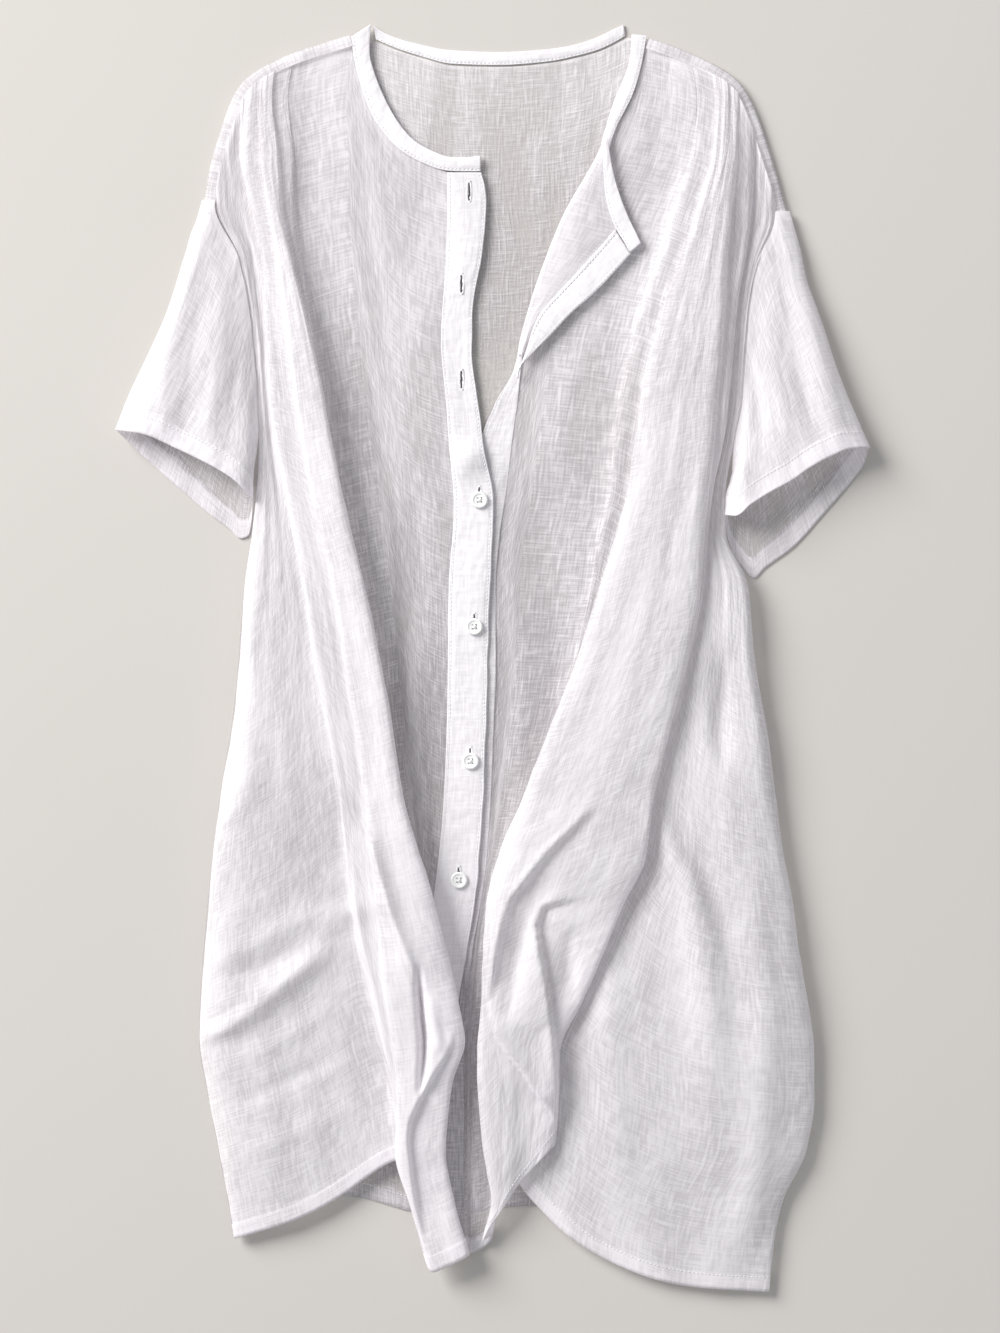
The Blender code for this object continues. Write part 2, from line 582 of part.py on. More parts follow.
def stand_rows(seam, edges, level, gap):
    """Rows of points over a stand, from a panel's seam line to the free edge of the stand.

    edges: y, x of the free edge. gap: how far the stand keeps from the panel, signed.
    """
    seam = np.asarray(seam, float)[::-1]
    edges = np.asarray(edges, float)
    y = np.linspace(edges[0, 0], edges[-1, 0], STAND_ROWS)
    first = np.interp(y, seam[:, 1], seam[:, 0]) + gap
    last = smooth_curve(edges[:, 0], edges[:, 1], y)
    rows = [np.column_stack([first + (last - first) * t, y, np.full(len(y), level)]) for t in (0, 0.5, 1)]
    return np.array(rows)


def add_lathe(mesh, profile, centre, sides):
    """Turns a closed profile of (radius, height) round an upright axis, in millimetres."""
    places = [(centre[0] + radius, centre[1], centre[2] + height) for radius, height in profile]
    verts = [mesh.verts.new(np.array(place) * MM) for place in places]
    edges = [mesh.edges.new((a, b)) for a, b in zip(verts, verts[1:])]
    axis_point = (centre[0] * MM, centre[1] * MM, 0)
    bmesh.ops.spin(
        mesh, geom=verts + edges, cent=axis_point, axis=(0, 0, 1), angle=2 * math.pi,
        steps=sides, use_merge=True,
    )
    bmesh.ops.remove_doubles(mesh, verts=mesh.verts, dist=MERGE)
    bmesh.ops.recalc_face_normals(mesh, faces=mesh.faces)


def mesh_object(name, mesh, material=None):
    data = bpy.data.meshes.new(name)
    mesh.to_mesh(data)
    mesh.free()
    piece = bpy.data.objects.new(name, data)
    bpy.context.collection.objects.link(piece)
    if material:
        data.materials.append(material)
    return piece


def cut_with(piece, cutter):
    cutter.hide_render = True
    cutter.display_type = "WIRE"
    cut = piece.modifiers.new("cut", "BOOLEAN")
    cut.object = cutter
    cut.solver = "EXACT"


def make_hole_stand(panel, cloth):
    """The buttonhole stand, with an upright slit for each button."""
    rows = stand_rows(panel[:, 0], LEFT_STAND, HOLE_STAND_LEVEL, 2 * SEAM_GAP)
    x, y, lift, spread = STAND_LIFT
    rows[:, :, 2] += lift * np.exp(-(((rows[:, :, 0] - x) ** 2 + (rows[:, :, 1] - y) ** 2) / spread ** 2))
    stand = wall_from_sheet("placket_left", [rows], STAND_WALL, cloth, True)
    mesh = bmesh.new()
    for x, y in OPEN_SLITS + tuple((x, y + SLIT_RISE) for x, y in FASTENED):
        made = bmesh.ops.create_cube(mesh, size=1)
        size = np.array((SLIT_WIDTH, SLIT_LENGTH, SLIT_CUTTER_DEPTH)) * MM
        bmesh.ops.scale(mesh, vec=size, verts=made["verts"])
        bmesh.ops.translate(mesh, vec=(x * MM, y * MM, 0), verts=made["verts"])
    cut_with(stand, mesh_object("slit_cutter", mesh))
    return stand


def make_button(name, x, y, z, plastic, shank):
    """A round dished button; one that shows has four holes and its thread shank."""
    inner = BUTTON_RADIUS - RIM_WIDTH
    dish = BUTTON_THICK - DISH_DEPTH
    profile = [
        (0, 0), (BUTTON_RADIUS - EDGE_ROUND, 0), (BUTTON_RADIUS, EDGE_ROUND),
        (BUTTON_RADIUS, BUTTON_THICK - EDGE_ROUND), (BUTTON_RADIUS - EDGE_ROUND, BUTTON_THICK),
        (inner + EDGE_ROUND / 2, BUTTON_THICK), (inner - EDGE_ROUND / 2, dish), (0, dish),
    ]
    if shank:
        profile = [(0, -shank), (THREAD_RADIUS, -shank), (THREAD_RADIUS, 0)] + profile[1:]
    mesh = bmesh.new()
    add_lathe(mesh, profile, (x, y, z), BUTTON_SIDES)
    button = mesh_object(name, mesh, plastic)
    button.data.shade_smooth()
    button.data.set_sharp_from_angle(angle=math.radians(40))
    if shank:
        holes = bmesh.new()
        for dx, dy in ((1, 1), (1, -1), (-1, 1), (-1, -1)):
            spot = (x + dx * HOLE_OFFSET, y + dy * HOLE_OFFSET)
            made = bmesh.ops.create_cone(
                holes, cap_ends=True, segments=HOLE_SIDES, radius1=HOLE_RADIUS * MM,
                radius2=HOLE_RADIUS * MM, depth=HOLE_CUTTER_DEPTH * MM,
            )
            bmesh.ops.translate(holes, vec=(spot[0] * MM, spot[1] * MM, z * MM), verts=made["verts"])
        cut_with(button, mesh_object(name + "_hole_cutter", holes))
    return button


def main():
    for leftover in list(bpy.data.objects):
        bpy.data.objects.remove(leftover)
    gauze = fabric("linen_gauze", (0.86, 0.85, 0.85), 0.9)
    doubled = fabric("linen_doubled", (0.93, 0.93, 0.94), 0.85)
    plastic = fabric("button_plastic", (0.95, 0.95, 0.94), 0.3)
    make_back(gauze)
    left = make_left_front(gauze)
    right = make_right_front(gauze)
    make_sleeve("sleeve_left", LEFT_SLEEVE, LEFT_SECTIONS, -1, gauze)
    make_sleeve("sleeve_right", RIGHT_SLEEVE, RIGHT_SECTIONS, 1, gauze)
    make_left_band(left, doubled)
    make_strip("neck_band_back", NECK_BAND_BACK, BACK_LEVEL, doubled, BACK_BAND_ROWS, False, WALL)
    make_strip("neck_band_right", NECK_BAND_RIGHT, NECK_BAND_LEVEL, doubled, RIGHT_BAND_ROWS)
    make_strip("neck_band_flap", NECK_BAND_FLAP, FLAP_LEVEL, doubled, FLAP_BAND_ROWS, False)
    make_strip("placket_flap", PLACKET_FLAP, FLAP_LEVEL, doubled, FLAP_STAND_ROWS, False)
    make_hole_stand(left, doubled)
    rows = stand_rows(right[:, 0], RIGHT_STAND, BUTTON_STAND_LEVEL, -SEAM_GAP)
    wall_from_sheet("placket_right", [rows], STAND_WALL, doubled, True)
    seat = HOLE_STAND_LEVEL + STAND_WALL + SEAM_GAP
    shank = seat - BUTTON_STAND_LEVEL - STAND_WALL - SEAM_GAP
    for number, (x, y) in enumerate(FASTENED, start=1):
        make_button(f"button_{number}", x, y, seat, plastic, shank)
    for number, (x, y, z) in enumerate(HIDDEN_BUTTONS, start=len(FASTENED) + 1):
        make_button(f"button_{number}", x, y, z, plastic, 0)
    for piece in bpy.data.objects:
        piece.location = (SHIFT[0] * MM, SHIFT[1] * MM, 0)


main()
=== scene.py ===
"""Looks for the short-sleeve linen shirt: gauze sheets, stitched hems, stands, buttons and light.

Sizes are in millimetres in the tables and become metres when a mesh is made. The neck points to
+Y and the open front faces +Z. Left is the -X side and right the +X side.
"""

import math

import bmesh
import bpy
import numpy as np
from mathutils import Matrix, Vector


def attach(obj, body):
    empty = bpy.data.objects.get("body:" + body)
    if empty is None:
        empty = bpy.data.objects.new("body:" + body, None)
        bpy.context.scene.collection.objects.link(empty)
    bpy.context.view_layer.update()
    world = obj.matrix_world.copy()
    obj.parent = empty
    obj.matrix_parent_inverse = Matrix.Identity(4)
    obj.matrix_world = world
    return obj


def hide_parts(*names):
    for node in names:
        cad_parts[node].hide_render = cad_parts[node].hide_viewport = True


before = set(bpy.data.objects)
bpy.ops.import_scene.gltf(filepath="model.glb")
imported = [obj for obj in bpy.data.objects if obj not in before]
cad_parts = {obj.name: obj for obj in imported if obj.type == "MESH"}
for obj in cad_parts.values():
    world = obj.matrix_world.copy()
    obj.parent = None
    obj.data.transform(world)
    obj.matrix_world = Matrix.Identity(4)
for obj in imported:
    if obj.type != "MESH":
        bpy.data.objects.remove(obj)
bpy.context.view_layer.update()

MM = 0.001

# Moves the outlines below so that the whole shirt is centred on the origin
SHIFT = np.array([0.5, -2.0, 0.0])

# Heights of the cloth where the shirt lies flat
BACK_LEVEL = 0.9
FRONT_LIFT = 0.6
LOWEST_FRONT = 1.9
LOWEST_SLEEVE = 0.5
BUTTON_STAND_LEVEL = 2.3
HOLE_STAND_LEVEL = 4.8
NECK_BAND_LEVEL = 4.4
FLAP_LEVEL = 8.0
SHOULDER_ROLL = 2.4
SHOULDER_WRAP = 8.0
CURL_START = 165.0
CURL_WIDTH = 9.0
BACK_INSET = 1.5
STAND_THICK = 1.1
BAND_THICK = 1.3

# Hems and seams
HEM_DEPTH = 13.0
CUFF_DEPTH = 15.0
SEAM_ALLOWANCE = 8.0
STITCH_INSET = 1.5
STITCH_LENGTH = 2.4
STITCH_PITCH = 3.1
STITCH_RADIUS = 0.27
MERGE = 0.00005

# How much of the view the threads of a single layer fill
SINGLE_COVER = 0.58
# The button stand is sheer below the first of these heights (y) and denser above the second.
# Between them, where it shows beside the buttonhole stand, it is this much doubled. Where it is
# less doubled it is also painted darker, as painted shade beside and under the buttonhole stand
STAND_SHEER_FROM = -200.0
STAND_SHEER_ABOVE = 140.0
STAND_BESIDE = 0.45
# A front's doubled band fades past this control point
BAND_END = 8.6
# The back is more open than the layers above and is painted darker, as painted shade that deepens down
# the neck opening: y, then density
BACK_OPENNESS_AND_SHADE = ((230, 300, 450), (-0.65, -0.6, 0.3))

# Grid density
STEPS_A_SPAN = 11
HALVINGS = 30
NOISE_CELLS = 97
PANEL_ROWS = 290
BACK_ROWS = 230
NECK_COLUMNS = 82
STRIP_COLUMNS = 21
SLEEVE_ROWS = 90
SLEEVE_COLUMNS = 70

# Buttons
BUTTON_RADIUS = 6.6
BUTTON_THICK = 2.5
# Half of the outline of a button: radius and height
BUTTON_PROFILE = [(BUTTON_RADIUS + r, z) for r, z in (
    (-1.6, 0), (-0.6, 0.2), (-0.15, 0.6), (0, 1.1), (-0.05, 1.6), (-0.35, 2.1),
    (-0.9, BUTTON_THICK - 0.05), (-1.4, BUTTON_THICK), (-1.8, BUTTON_THICK - 0.1),
    (-2.1, BUTTON_THICK - 0.3), (-2.4, BUTTON_THICK - 0.5), (-2.9, BUTTON_THICK - 0.6),
)]
BUTTON_PROFILE = [(0, 0), *BUTTON_PROFILE, (0, BUTTON_THICK - 0.65)]
HOLE_OFFSET = 1.45
HOLE_RADIUS = 0.75
SLIT_LENGTH = 14.0
SLIT_WIDTH = 1.3
SLIT_RISE = 3.0

# One row for each section across a front, from the shoulder down to the hem, as in the solids
SECTION_COLUMNS = (
    "y", "inner", "foot_in", "crest_in", "crest_out", "foot_out", "side",
    "low", "top_in", "top_out", "low_out", "side_z", "edge_z",
)
LEFT_SECTIONS = (
    (490, -33, -152, -166, -178, -190, -217.5, 3.4, 5.6, 5.6, 5.6, 5.6, 5.6),
    (437, -33, -160, -172, -183, -196, -217.5, 3.4, 8, 8, 6, 6, 5.6),
    (398, -34, -156, -167, -182, -198, -217.5, 3.4, 14, 14, 6, 8, 5.6),
    (355, -34, -155, -164, -176, -192, -217.5, 3.4, 19, 18, 6, 8, 5.6),
    (314, -35, -150, -156, -168, -184, -199, 3.4, 22, 20, 6, 8, 8),
    (250, -39, -140, -141, -160, -178, -188, 3.4, 24, 22, 6, 8, 8),
    (200, -35, -133, -130, -154, -174, -185, 3.4, 25, 23, 7, 8, 8),
    (172, -33, -129, -125, -150, -170, -184, 3.4, 26, 24, 8, 9, 7),
    (120, -29, -120, -114, -140, -160, -187, 3.4, 27, 24, 12, 14, 7),
    (55, -33, -106, -98, -125, -148, -195, 3.4, 28, 24, 15, 18, 7),
    (-30, -34, -93, -81, -112, -134, -202, 3.4, 28, 24, 15, 20, 8),
    (-110, -37, -82, -68, -100, -120, -214, 3.4, 28, 24, 14, 20, 8),
    (-187, -45, -66, -45, -92, -112, -223, 3.4, 28, 24, 13, 20, 8),
    (-265, -56, -68, -26, -84, -98, -229, 3.4, 28, 25, 13, 18, 8),
    (-296, -58, -70, -21, -80, -90, -230, 3.4, 28, 25, 12, 17, 8),
    (-330, -60, -70, -31, -76, -80, -225, 3.4, 27, 25, 10, 16, 8),
    (-382, -64, -68, -36, -77, -73, -215, 3.4, 24, 24, 8, 14, 7),
    (-420, -58, -62, -30, -67, -66, -208, 3.4, 22, 22, 7, 12, 7),
    (-478, -44, -46, -14, -50, -49, -198, 3.4, 18, 18, 6, 9, 5),
)
RIGHT_SECTIONS = (
    (490, 112, 150, 164, 180, 192, 219.5, 2.4, 5, 5, 5.6, 5.6, 5.6),
    (437, 99, 160, 174, 190, 200, 219.5, 2.2, 8, 8, 6, 6, 5.6),
    (398, 85, 156, 172, 189, 203, 219.5, 1.8, 14, 14, 6, 8, 5.6),
    (347, 57, 140, 158, 184, 200, 219.5, 1.6, 20, 20, 6, 8, 5.6),
    (310, 42, 128, 146, 181, 195, 206, 1.6, 22, 22, 6, 8, 8),
    (281, 32, 118, 136, 179, 190, 200, 1.6, 23, 23, 6, 8, 8),
    (242, 22, 108, 125, 176, 186, 196, 1.6, 24, 24, 7, 8, 8),
    (203, 18, 100, 116, 173, 183, 193, 1.6, 24, 24, 8, 9, 8),
    (172, 14, 96, 111, 171, 179, 187, 1.6, 25, 25, 8, 9, 7),
    (130, 9, 92, 104, 166, 170, 180, 1.6, 25, 25, 8, 9, 6),
    (98, 4, 84, 96, 163, 166, 181, 1.6, 25, 25, 9, 10, 6),
    (58, 1, 78, 84, 160, 162, 198, 1.6, 25, 25, 12, 16, 7),
    (0, 1, 66, 66, 149, 150, 203, 1.6, 25, 26, 13, 18, 8),
    (-62, -1, 47, 42, 134, 132, 213, 1.6, 26, 26, 12, 18, 8),
    (-109, -3, 32, 24, 123, 120, 219, 1.6, 27, 27, 10, 18, 8),
    (-156, -6, 14, 4, 117, 110, 226, 1.6, 28, 27, 9, 19, 8),
    (-187, -10, 6, -4, 102, 90, 232, 1.6, 28, 26, 9, 20, 8),
    (-226, -17, 4, -7, 85, 70, 237, 1.6, 28, 25, 9, 20, 8),
    (-265, -21, 2, -9, 68, 50, 244, 1.6, 28, 24, 9, 20, 8),
    (-304, -24, 0, -12, 51, 30, 249, 1.6, 27, 22, 8, 19, 8),
    (-343, -24, 0, -11, 50, 28, 250, 1.6, 25, 20, 8, 17, 8),
    (-382, -24, 2, -7, 47, 24, 244, 1.6, 22, 17, 7, 15, 7),
    (-421, -24, 4, -1, 26, 14, 226, 1.6, 16, 12, 6, 12, 6),
    (-456, -24, 0, -8, 5, 3, 218, 1.6, 10, 8, 5, 10, 6),
    (-498, -24, 0, -8, 5, 3, 214, 1.6, 8, 8, 5, 7, 5),
)

# Soft gathers that cross a front: y, x of the ridge, height (below zero for a valley), half width
LEFT_GATHERS = (
    ((-120, -106, 0, 10), (-170, -90, 5, 10), (-226, -72, 6, 10), (-262, -56, 0, 8)),
    ((-190, -110, 0, 12), (-250, -160, 5, 14), (-285, -205, 5, 14), (-300, -226, 0, 12)),
    ((-50, -195, 0, 10), (-90, -190, 4, 11), (-130, -202, 0, 10)),
)
RIGHT_GATHERS = (
    ((-100, 124, 0, 8), (-140, 133, 5, 10), (-187, 157, 6, 12), (-260, 168, 5, 14), (-420, 172, 0, 16)),
    ((20, 180, 0, 8), (-45, 178, -6, 9), (-90, 180, 0, 9)),
    ((-190, 100, 0, 12), (-260, 92, 5, 14), (-340, 96, 5, 16), (-450, 110, 0, 16)),
    ((-190, 196, 0, 12), (-280, 212, 4, 12), (-400, 205, 4, 14), (-480, 190, 0, 14)),
)

# Height of the hem (y) at each control point of a section
LEFT_HEM = (-458, -458, -459, -460, -462, -463, -469, -474, -478, -466, -400, -384, -431, -452, -452)
RIGHT_HEM = (-466, -463, -453, -449, -453, -456, -430, -403, -376, -380, -396, -412, -486, -494, -493)

# Outlines in plan, x then y
LEFT_NECK = (
    (-110, 476), (-107, 462), (-102, 444), (-94, 424), (-84, 410), (-72, 398), (-56, 389), (-42, 383),
    (-32, 380), (-20, 380),
)
RIGHT_NECK = ((83, 399), (86, 402), (96, 416), (105, 430), (110, 441), (115, 456), (117.5, 471))
LEFT_SHOULDER = (
    (-227, 358), (-222, 387), (-214, 413), (-206, 437), (-196, 454), (-183, 463), (-160, 474),
    (-136, 482), (-113, 489),
)
RIGHT_SHOULDER = (
    (230, 350), (221, 382), (213, 408), (204, 433), (196, 449), (184, 460), (161, 472),
    (140, 481), (122, 487),
)
BACK_NECK = (
    (-93, 484), (-73, 476), (-53, 470), (-34, 465), (5, 464), (44, 467), (64, 471), (83, 476),
    (99, 484), (105, 487),
)
BACK_HEM = (
    (-200, -446), (-124, -418), (-96, -423), (-64, -432), (-34, -434), (5, -428), (36, -427),
    (83, -441), (161, -472), (212, -488),
)
NECK_BAND_LEFT = (
    ((-111, 487), (-110, 476), (-107, 462), (-102, 444), (-94, 424), (-84, 410), (-72, 398), (-56, 389),
     (-42, 383.5), (-30, 382), (-10, 382)),
    ((-96, 497), (-97, 475), (-92, 456), (-85, 439), (-75, 421), (-62, 406), (-46, 397),
     (-34, 393), (-22, 393), (-10, 394)),
)
NECK_BAND_BACK = (
    ((-92, 485.6), (-73, 477.5), (-53, 471.5), (-34, 466.5), (5, 465.5), (44, 468.5),
     (64, 472.5), (83, 477.8), (99, 485.8), (103, 488.5)),
    ((-94, 496), (-80, 488), (-55, 481), (-34, 477), (5, 475.6), (44, 478), (66, 482),
     (83, 488), (95, 494), (102, 497)),
)
NECK_BAND_RIGHT = (
    ((119.5, 488), (117, 472), (113.6, 457), (108.8, 442), (103, 430), (97.5, 420), (93, 409), (90, 398)),
    ((108, 489), (107.5, 476), (105, 463), (99, 448), (93, 433), (88.5, 418.5), (85, 407), (83.6, 399)),
)
NECK_BAND_FLAP = (
    ((85, 400), (86, 386), (87, 368), (90.5, 350), (95, 338), (103, 324.5), (106.5, 318)),
    ((88.5, 409), (90.5, 396), (94, 378), (100, 359), (107, 342), (112.5, 331), (115, 325)),
)
# The folded-back corner's stitch line, from the top of the roll to its foot
FLAP_STITCH = (
    (88, 402), (88, 386), (89, 368), (93, 350), (96, 336), (85, 319), (69, 302), (53, 286),
    (37, 269), (28, 252), (21.5, 236),
)
PLACKET_FLAP = (
    ((18, 222), (23, 233), (29, 253), (35.5, 269), (50, 286), (65, 302), (80, 318.6), (95, 336)),
    ((19, 220), (19, 226), (29, 238), (45, 254), (61, 271), (76, 284), (89, 297), (107, 317)),
)

# Free edge of the buttonhole stand: y, x
LEFT_STAND = (
    (381, -9.5), (370, -6.8), (359, -6), (342, -6.6), (320, -8.6), (281, -15.5), (242, -17),
    (203, -12), (164, -7), (125, 0), (86, -1), (47, -3),
    (-31, -5), (-109, -8), (-187, -14), (-265, -27), (-300, -30), (-343, -36), (-382, -39),
    (-420, -34), (-438, -32),
)
# Free edge of the button stand below it: y, x
RIGHT_STAND = (
    (240, 19.5), (226, 15.5), (213, 8.5), (205, 3.4), (195, -1.2), (179, -8.5), (164, -13),
    (140, -18), (125, -23), (78, -28), (0, -29), (-62, -31),
    (-109, -33), (-156, -36), (-187, -40), (-226, -47), (-265, -51), (-304, -54), (-450, -54),
)
# Stitches that hold the hidden buttons to the folded stand, x then y
BUTTON_TACKS = ((44, 269), (36, 257.5))
# The trapped button lifts the buttonhole stand: x, y, lift, spread
STAND_LIFT = (-19, 158, 4.6, 13)

# Slits down the buttonhole stand and the buttons, x then y
OPEN_SLITS = ((-19, 366), (-25, 294), (-25, 219))
FASTENED = ((-11, 125), (-15, 26), (-18, -79), (-27, -172))
SLITS = OPEN_SLITS + tuple((x, y + SLIT_RISE) for x, y in FASTENED)
HIDDEN_BUTTONS = ((97, 319, 3.1), (52, 274, 3.1), (-19, 158, 3.7))

# Camera, in metres: its height, the height of the cloth in focus, and the length that it sees
CAMERA_HEIGHT = 3.0
CLOTH_HEIGHT = 0.01
SEEN_LENGTH = 1.040

# Sleeves in plan. start: the armhole's outer end. out and in: the tube's two edges, from the armhole
# to the mouth. front and back: the mouth's two lips
LEFT_SLEEVE = {
    "start": (-227.5, 359),
    "out": ((-227.5, 359), (-231, 345), (-236, 332), (-241, 314), (-255, 269), (-265, 246),
            (-283, 207), (-294, 179)),
    "in": ((-187, 150), (-188, 125)),
    "front": ((-294, 179), (-280, 177), (-268, 174), (-248, 165), (-229, 156), (-202, 140), (-188, 125)),
    "back": ((-294, 179), (-276, 161), (-241, 130), (-217, 110), (-206, 102), (-198, 95), (-192, 97),
             (-189, 111), (-188, 125)),
}
RIGHT_SLEEVE = {
    "start": (230.5, 350.5),
    "out": ((230.5, 350.5), (234, 338), (239, 320), (244, 296), (252, 273), (269, 222),
            (285, 183), (293, 165)),
    "in": ((187, 148), (182, 129), (181, 113)),
    "front": ((293, 165), (278, 164), (262, 158), (247, 150), (231, 139), (216, 131), (200, 121),
              (188, 112), (181, 113)),
    "back": ((293, 165), (290, 154), (281, 141), (258, 114), (234, 88), (211, 71), (204, 64),
             (194, 74), (186, 87), (182, 101), (181, 113)),
}
# Heights along a sleeve from armhole to mouth: share of the way, top of the cloth, mid edge
SLEEVE_HEIGHTS = ((0.0, 8.0, 5.0), (0.3, 15.0, 8.0), (0.7, 21.0, 11.0), (1.0, 24.0, 13.0))
UNDERARM = 174.0
ARMHOLE_GAP = 0.4
EDGE_SHARE = 0.16

# Creases pressed or pulled into the cloth. Each: height (below zero for a trough), half
# width, then the line it follows in plan
LEFT_CREASES = (
    (2.2, 5, ((-104, -125), (-90, -168), (-78, -207), (-65, -246), (-57, -257))),
    (1.8, 8, ((-229, -234), (-190, -222), (-150, -204), (-100, -192), (-73, -187))),
    (-1.6, 7, ((-226, -252), (-180, -238), (-128, -218), (-92, -205))),
    (1.5, 7, ((-229, -273), (-180, -256), (-128, -234))),
    (1.2, 4, ((-209, -47), (-196, -62), (-180, -70))),
    (-1.4, 4, ((-208, -60), (-194, -78), (-176, -90))),
    (1.3, 4, ((-205, -84), (-190, -98), (-174, -109))),
    (-1.2, 5, ((-205, 40), (-196, -5), (-190, -45))),
    (1.0, 6, ((-178, 120), (-184, 60), (-186, 0))),
    (1.2, 7, ((-222, -320), (-170, -300), (-120, -270))),
    (-1.1, 6, ((-218, -350), (-165, -330), (-110, -300))),
    (1.1, 8, ((-212, -395), (-160, -372), (-104, -345))),
    (0.9, 5, ((-140, 420), (-128, 370), (-120, 330))),
    (-0.9, 5, ((-112, 400), (-104, 340), (-100, 280))),
    (0.8, 6, ((-92, 330), (-84, 250), (-78, 170))),
    (-0.8, 5, ((-66, 240), (-60, 150), (-62, 80))),
    (0.8, 6, ((-70, 60), (-62, -20), (-56, -90))),
    (-14, 3.0, ((-59, -236), (-56, -273), (-54, -300), (-57, -338))),
    (2.5, 4, ((-50, -262), (-44, -290), (-42, -305))),
)
RIGHT_CREASES = (
    (-2.4, 5, ((183, 8), (179, -22), (177, -51), (180, -90))),
    (-2.2, 10, ((150, -10), (152, -45), (150, -80))),
    (-2.2, 4, ((127, -105), (128, -135), (132, -165))),
    (2.2, 6, ((134, -125), (153, -172), (161, -226), (166, -290))),
    (-1.9, 6, ((157, -140), (173, -187), (181, -226), (186, -290))),
    (1.6, 8, ((186, -150), (204, -200), (212, -260), (212, -330))),
    (-1.4, 8, ((142, -190), (146, -260), (150, -340), (152, -410))),
    (1.4, 8, ((112, -200), (118, -270), (124, -350), (130, -420))),
    (-1.4, 8, ((100, -230), (104, -300), (108, -370), (110, -430))),
    (1.2, 9, ((80, -260), (82, -320), (84, -380), (86, -430))),
    (1.3, 6, ((186, 60), (196, 20), (204, -30))),
    (-1.1, 5, ((194, 50), (204, 0), (212, -50))),
    (1.2, 8, ((228, -180), (236, -240), (238, -300))),
    (-1.2, 8, ((216, -300), (220, -360), (208, -420))),
    (0.9, 6, ((126, 440), (118, 400), (112, 360))),
    (-0.9, 6, ((144, 420), (138, 370), (128, 320))),
    (0.8, 6, ((64, 240), (52, 170), (44, 100))),
    (-0.8, 6, ((40, 160), (30, 80), (26, 0))),
    (0.8, 5, ((22, 60), (16, -10), (12, -70))),
    (-5, 9, ((40, -165), (26, -200), (15, -240), (13, -280))),
    (2.5, 3, ((83, -109), (40, -152), (13, -187), (2, -235), (-3, -266))),
    (-3, 7, ((60, -205), (58, -240), (62, -265))),
)
# Where one layer of a fold lies over the next: step height, which side of the line is higher
# (-1: the side at the right hand when walking down the line), then the line in plan
LEFT_LIPS = (
    (8, -1, ((-30, -285), (-32, -300), (-42, -316), (-57, -343), (-66, -367), (-64, -390),
             (-60, -421), (-53, -452))),
    (8, 1, ((-106, -100), (-100, -125), (-93, -156), (-85, -183), (-76, -210),
            (-66, -234), (-57, -257))),
    (6, 1, ((-112, -130), (-111, -156), (-106, -210), (-93, -263), (-85, -306),
            (-80, -338), (-79, -365))),
)
RIGHT_LIPS = (
    (6.5, -1, ((83, -109), (61, -131), (40, -152), (25, -172), (13, -187), (5, -215),
               (1, -242), (-4, -269))),
    (9, 1, ((-4, -262), (1, -289), (7, -300), (21, -318), (32, -335), (50, -359))),
    (11, -1, ((70, -185), (52, -188), (40, -191), (34, -199), (36, -218), (39, -234), (46, -281),
              (50, -335), (52, -367))),
)
LIP_SHARP = 1.2
LIP_FALL = 24.0

BACK_CREASES = (
    (0.5, 12, ((-60, 420), (-40, 330), (-44, 240))),
    (0.5, 14, ((30, 430), (40, 350), (34, 260))),
    (0.4, 12, ((0, 300), (6, 200), (2, 100))),
    (0.5, 16, ((-120, 100), (-110, -50), (-130, -200))),
    (0.5, 16, ((120, 80), (130, -80), (118, -240))),
)
LEFT_SLEEVE_CREASES = (
    (2.0, 7, ((-232, 320), (-246, 270), (-256, 215), (-258, 172))),
    (-1.7, 7, ((-222, 310), (-230, 260), (-238, 205), (-240, 165))),
    (1.6, 6, ((-208, 290), (-214, 240), (-220, 190), (-218, 150))),
    (-1.3, 5, ((-198, 260), (-202, 215), (-204, 170))),
)
RIGHT_SLEEVE_CREASES = (
    (2.0, 7, ((236, 310), (248, 260), (262, 205), (268, 162))),
    (-1.7, 7, ((224, 300), (234, 250), (244, 200), (248, 152))),
    (1.6, 6, ((212, 280), (218, 230), (226, 180), (228, 140))),
    (-1.3, 5, ((202, 250), (206, 205), (208, 160))),
)
# What the two fronts are made from. inward: the side of the shoulder line that the front is on.
# calmest: how much crumple its inner edge keeps. band: where the doubled band starts, in control
# points; the left one starts earlier, over the shaded inner wall of its fold, which it paints whiter
# as painted light. beyond: how dense the cloth is from the band out to the side, which also paints
# that cloth whiter, as painted light on cloth in the band's shade
FRONTS = {
    "left_front": {
        "sections": LEFT_SECTIONS, "gathers": LEFT_GATHERS, "hem": LEFT_HEM,
        "shoulder": LEFT_SHOULDER, "inward": 1, "neck": LEFT_NECK, "neck_points": 60,
        "creases": LEFT_CREASES, "lips": LEFT_LIPS, "seed": 11, "crumple": 1.3, "calmest": 0.1,
        "band": 4.5, "beyond": 0.82,
    },
    "right_front": {
        "sections": RIGHT_SECTIONS, "gathers": RIGHT_GATHERS, "hem": RIGHT_HEM,
        "shoulder": RIGHT_SHOULDER, "inward": -1, "neck": RIGHT_NECK, "neck_points": 40,
        "creases": RIGHT_CREASES, "lips": RIGHT_LIPS, "seed": 23, "crumple": 1.45, "calmest": 0.0,
        "band": 5, "beyond": 0.84,
    },
}
# Each sleeve: its plan, the front it is sewn to, which way it points, its creases and its seed
SLEEVES = {
    "left_sleeve": (LEFT_SLEEVE, LEFT_SECTIONS, -1, LEFT_SLEEVE_CREASES, 61),
    "right_sleeve": (RIGHT_SLEEVE, RIGHT_SECTIONS, 1, RIGHT_SLEEVE_CREASES, 71),
}
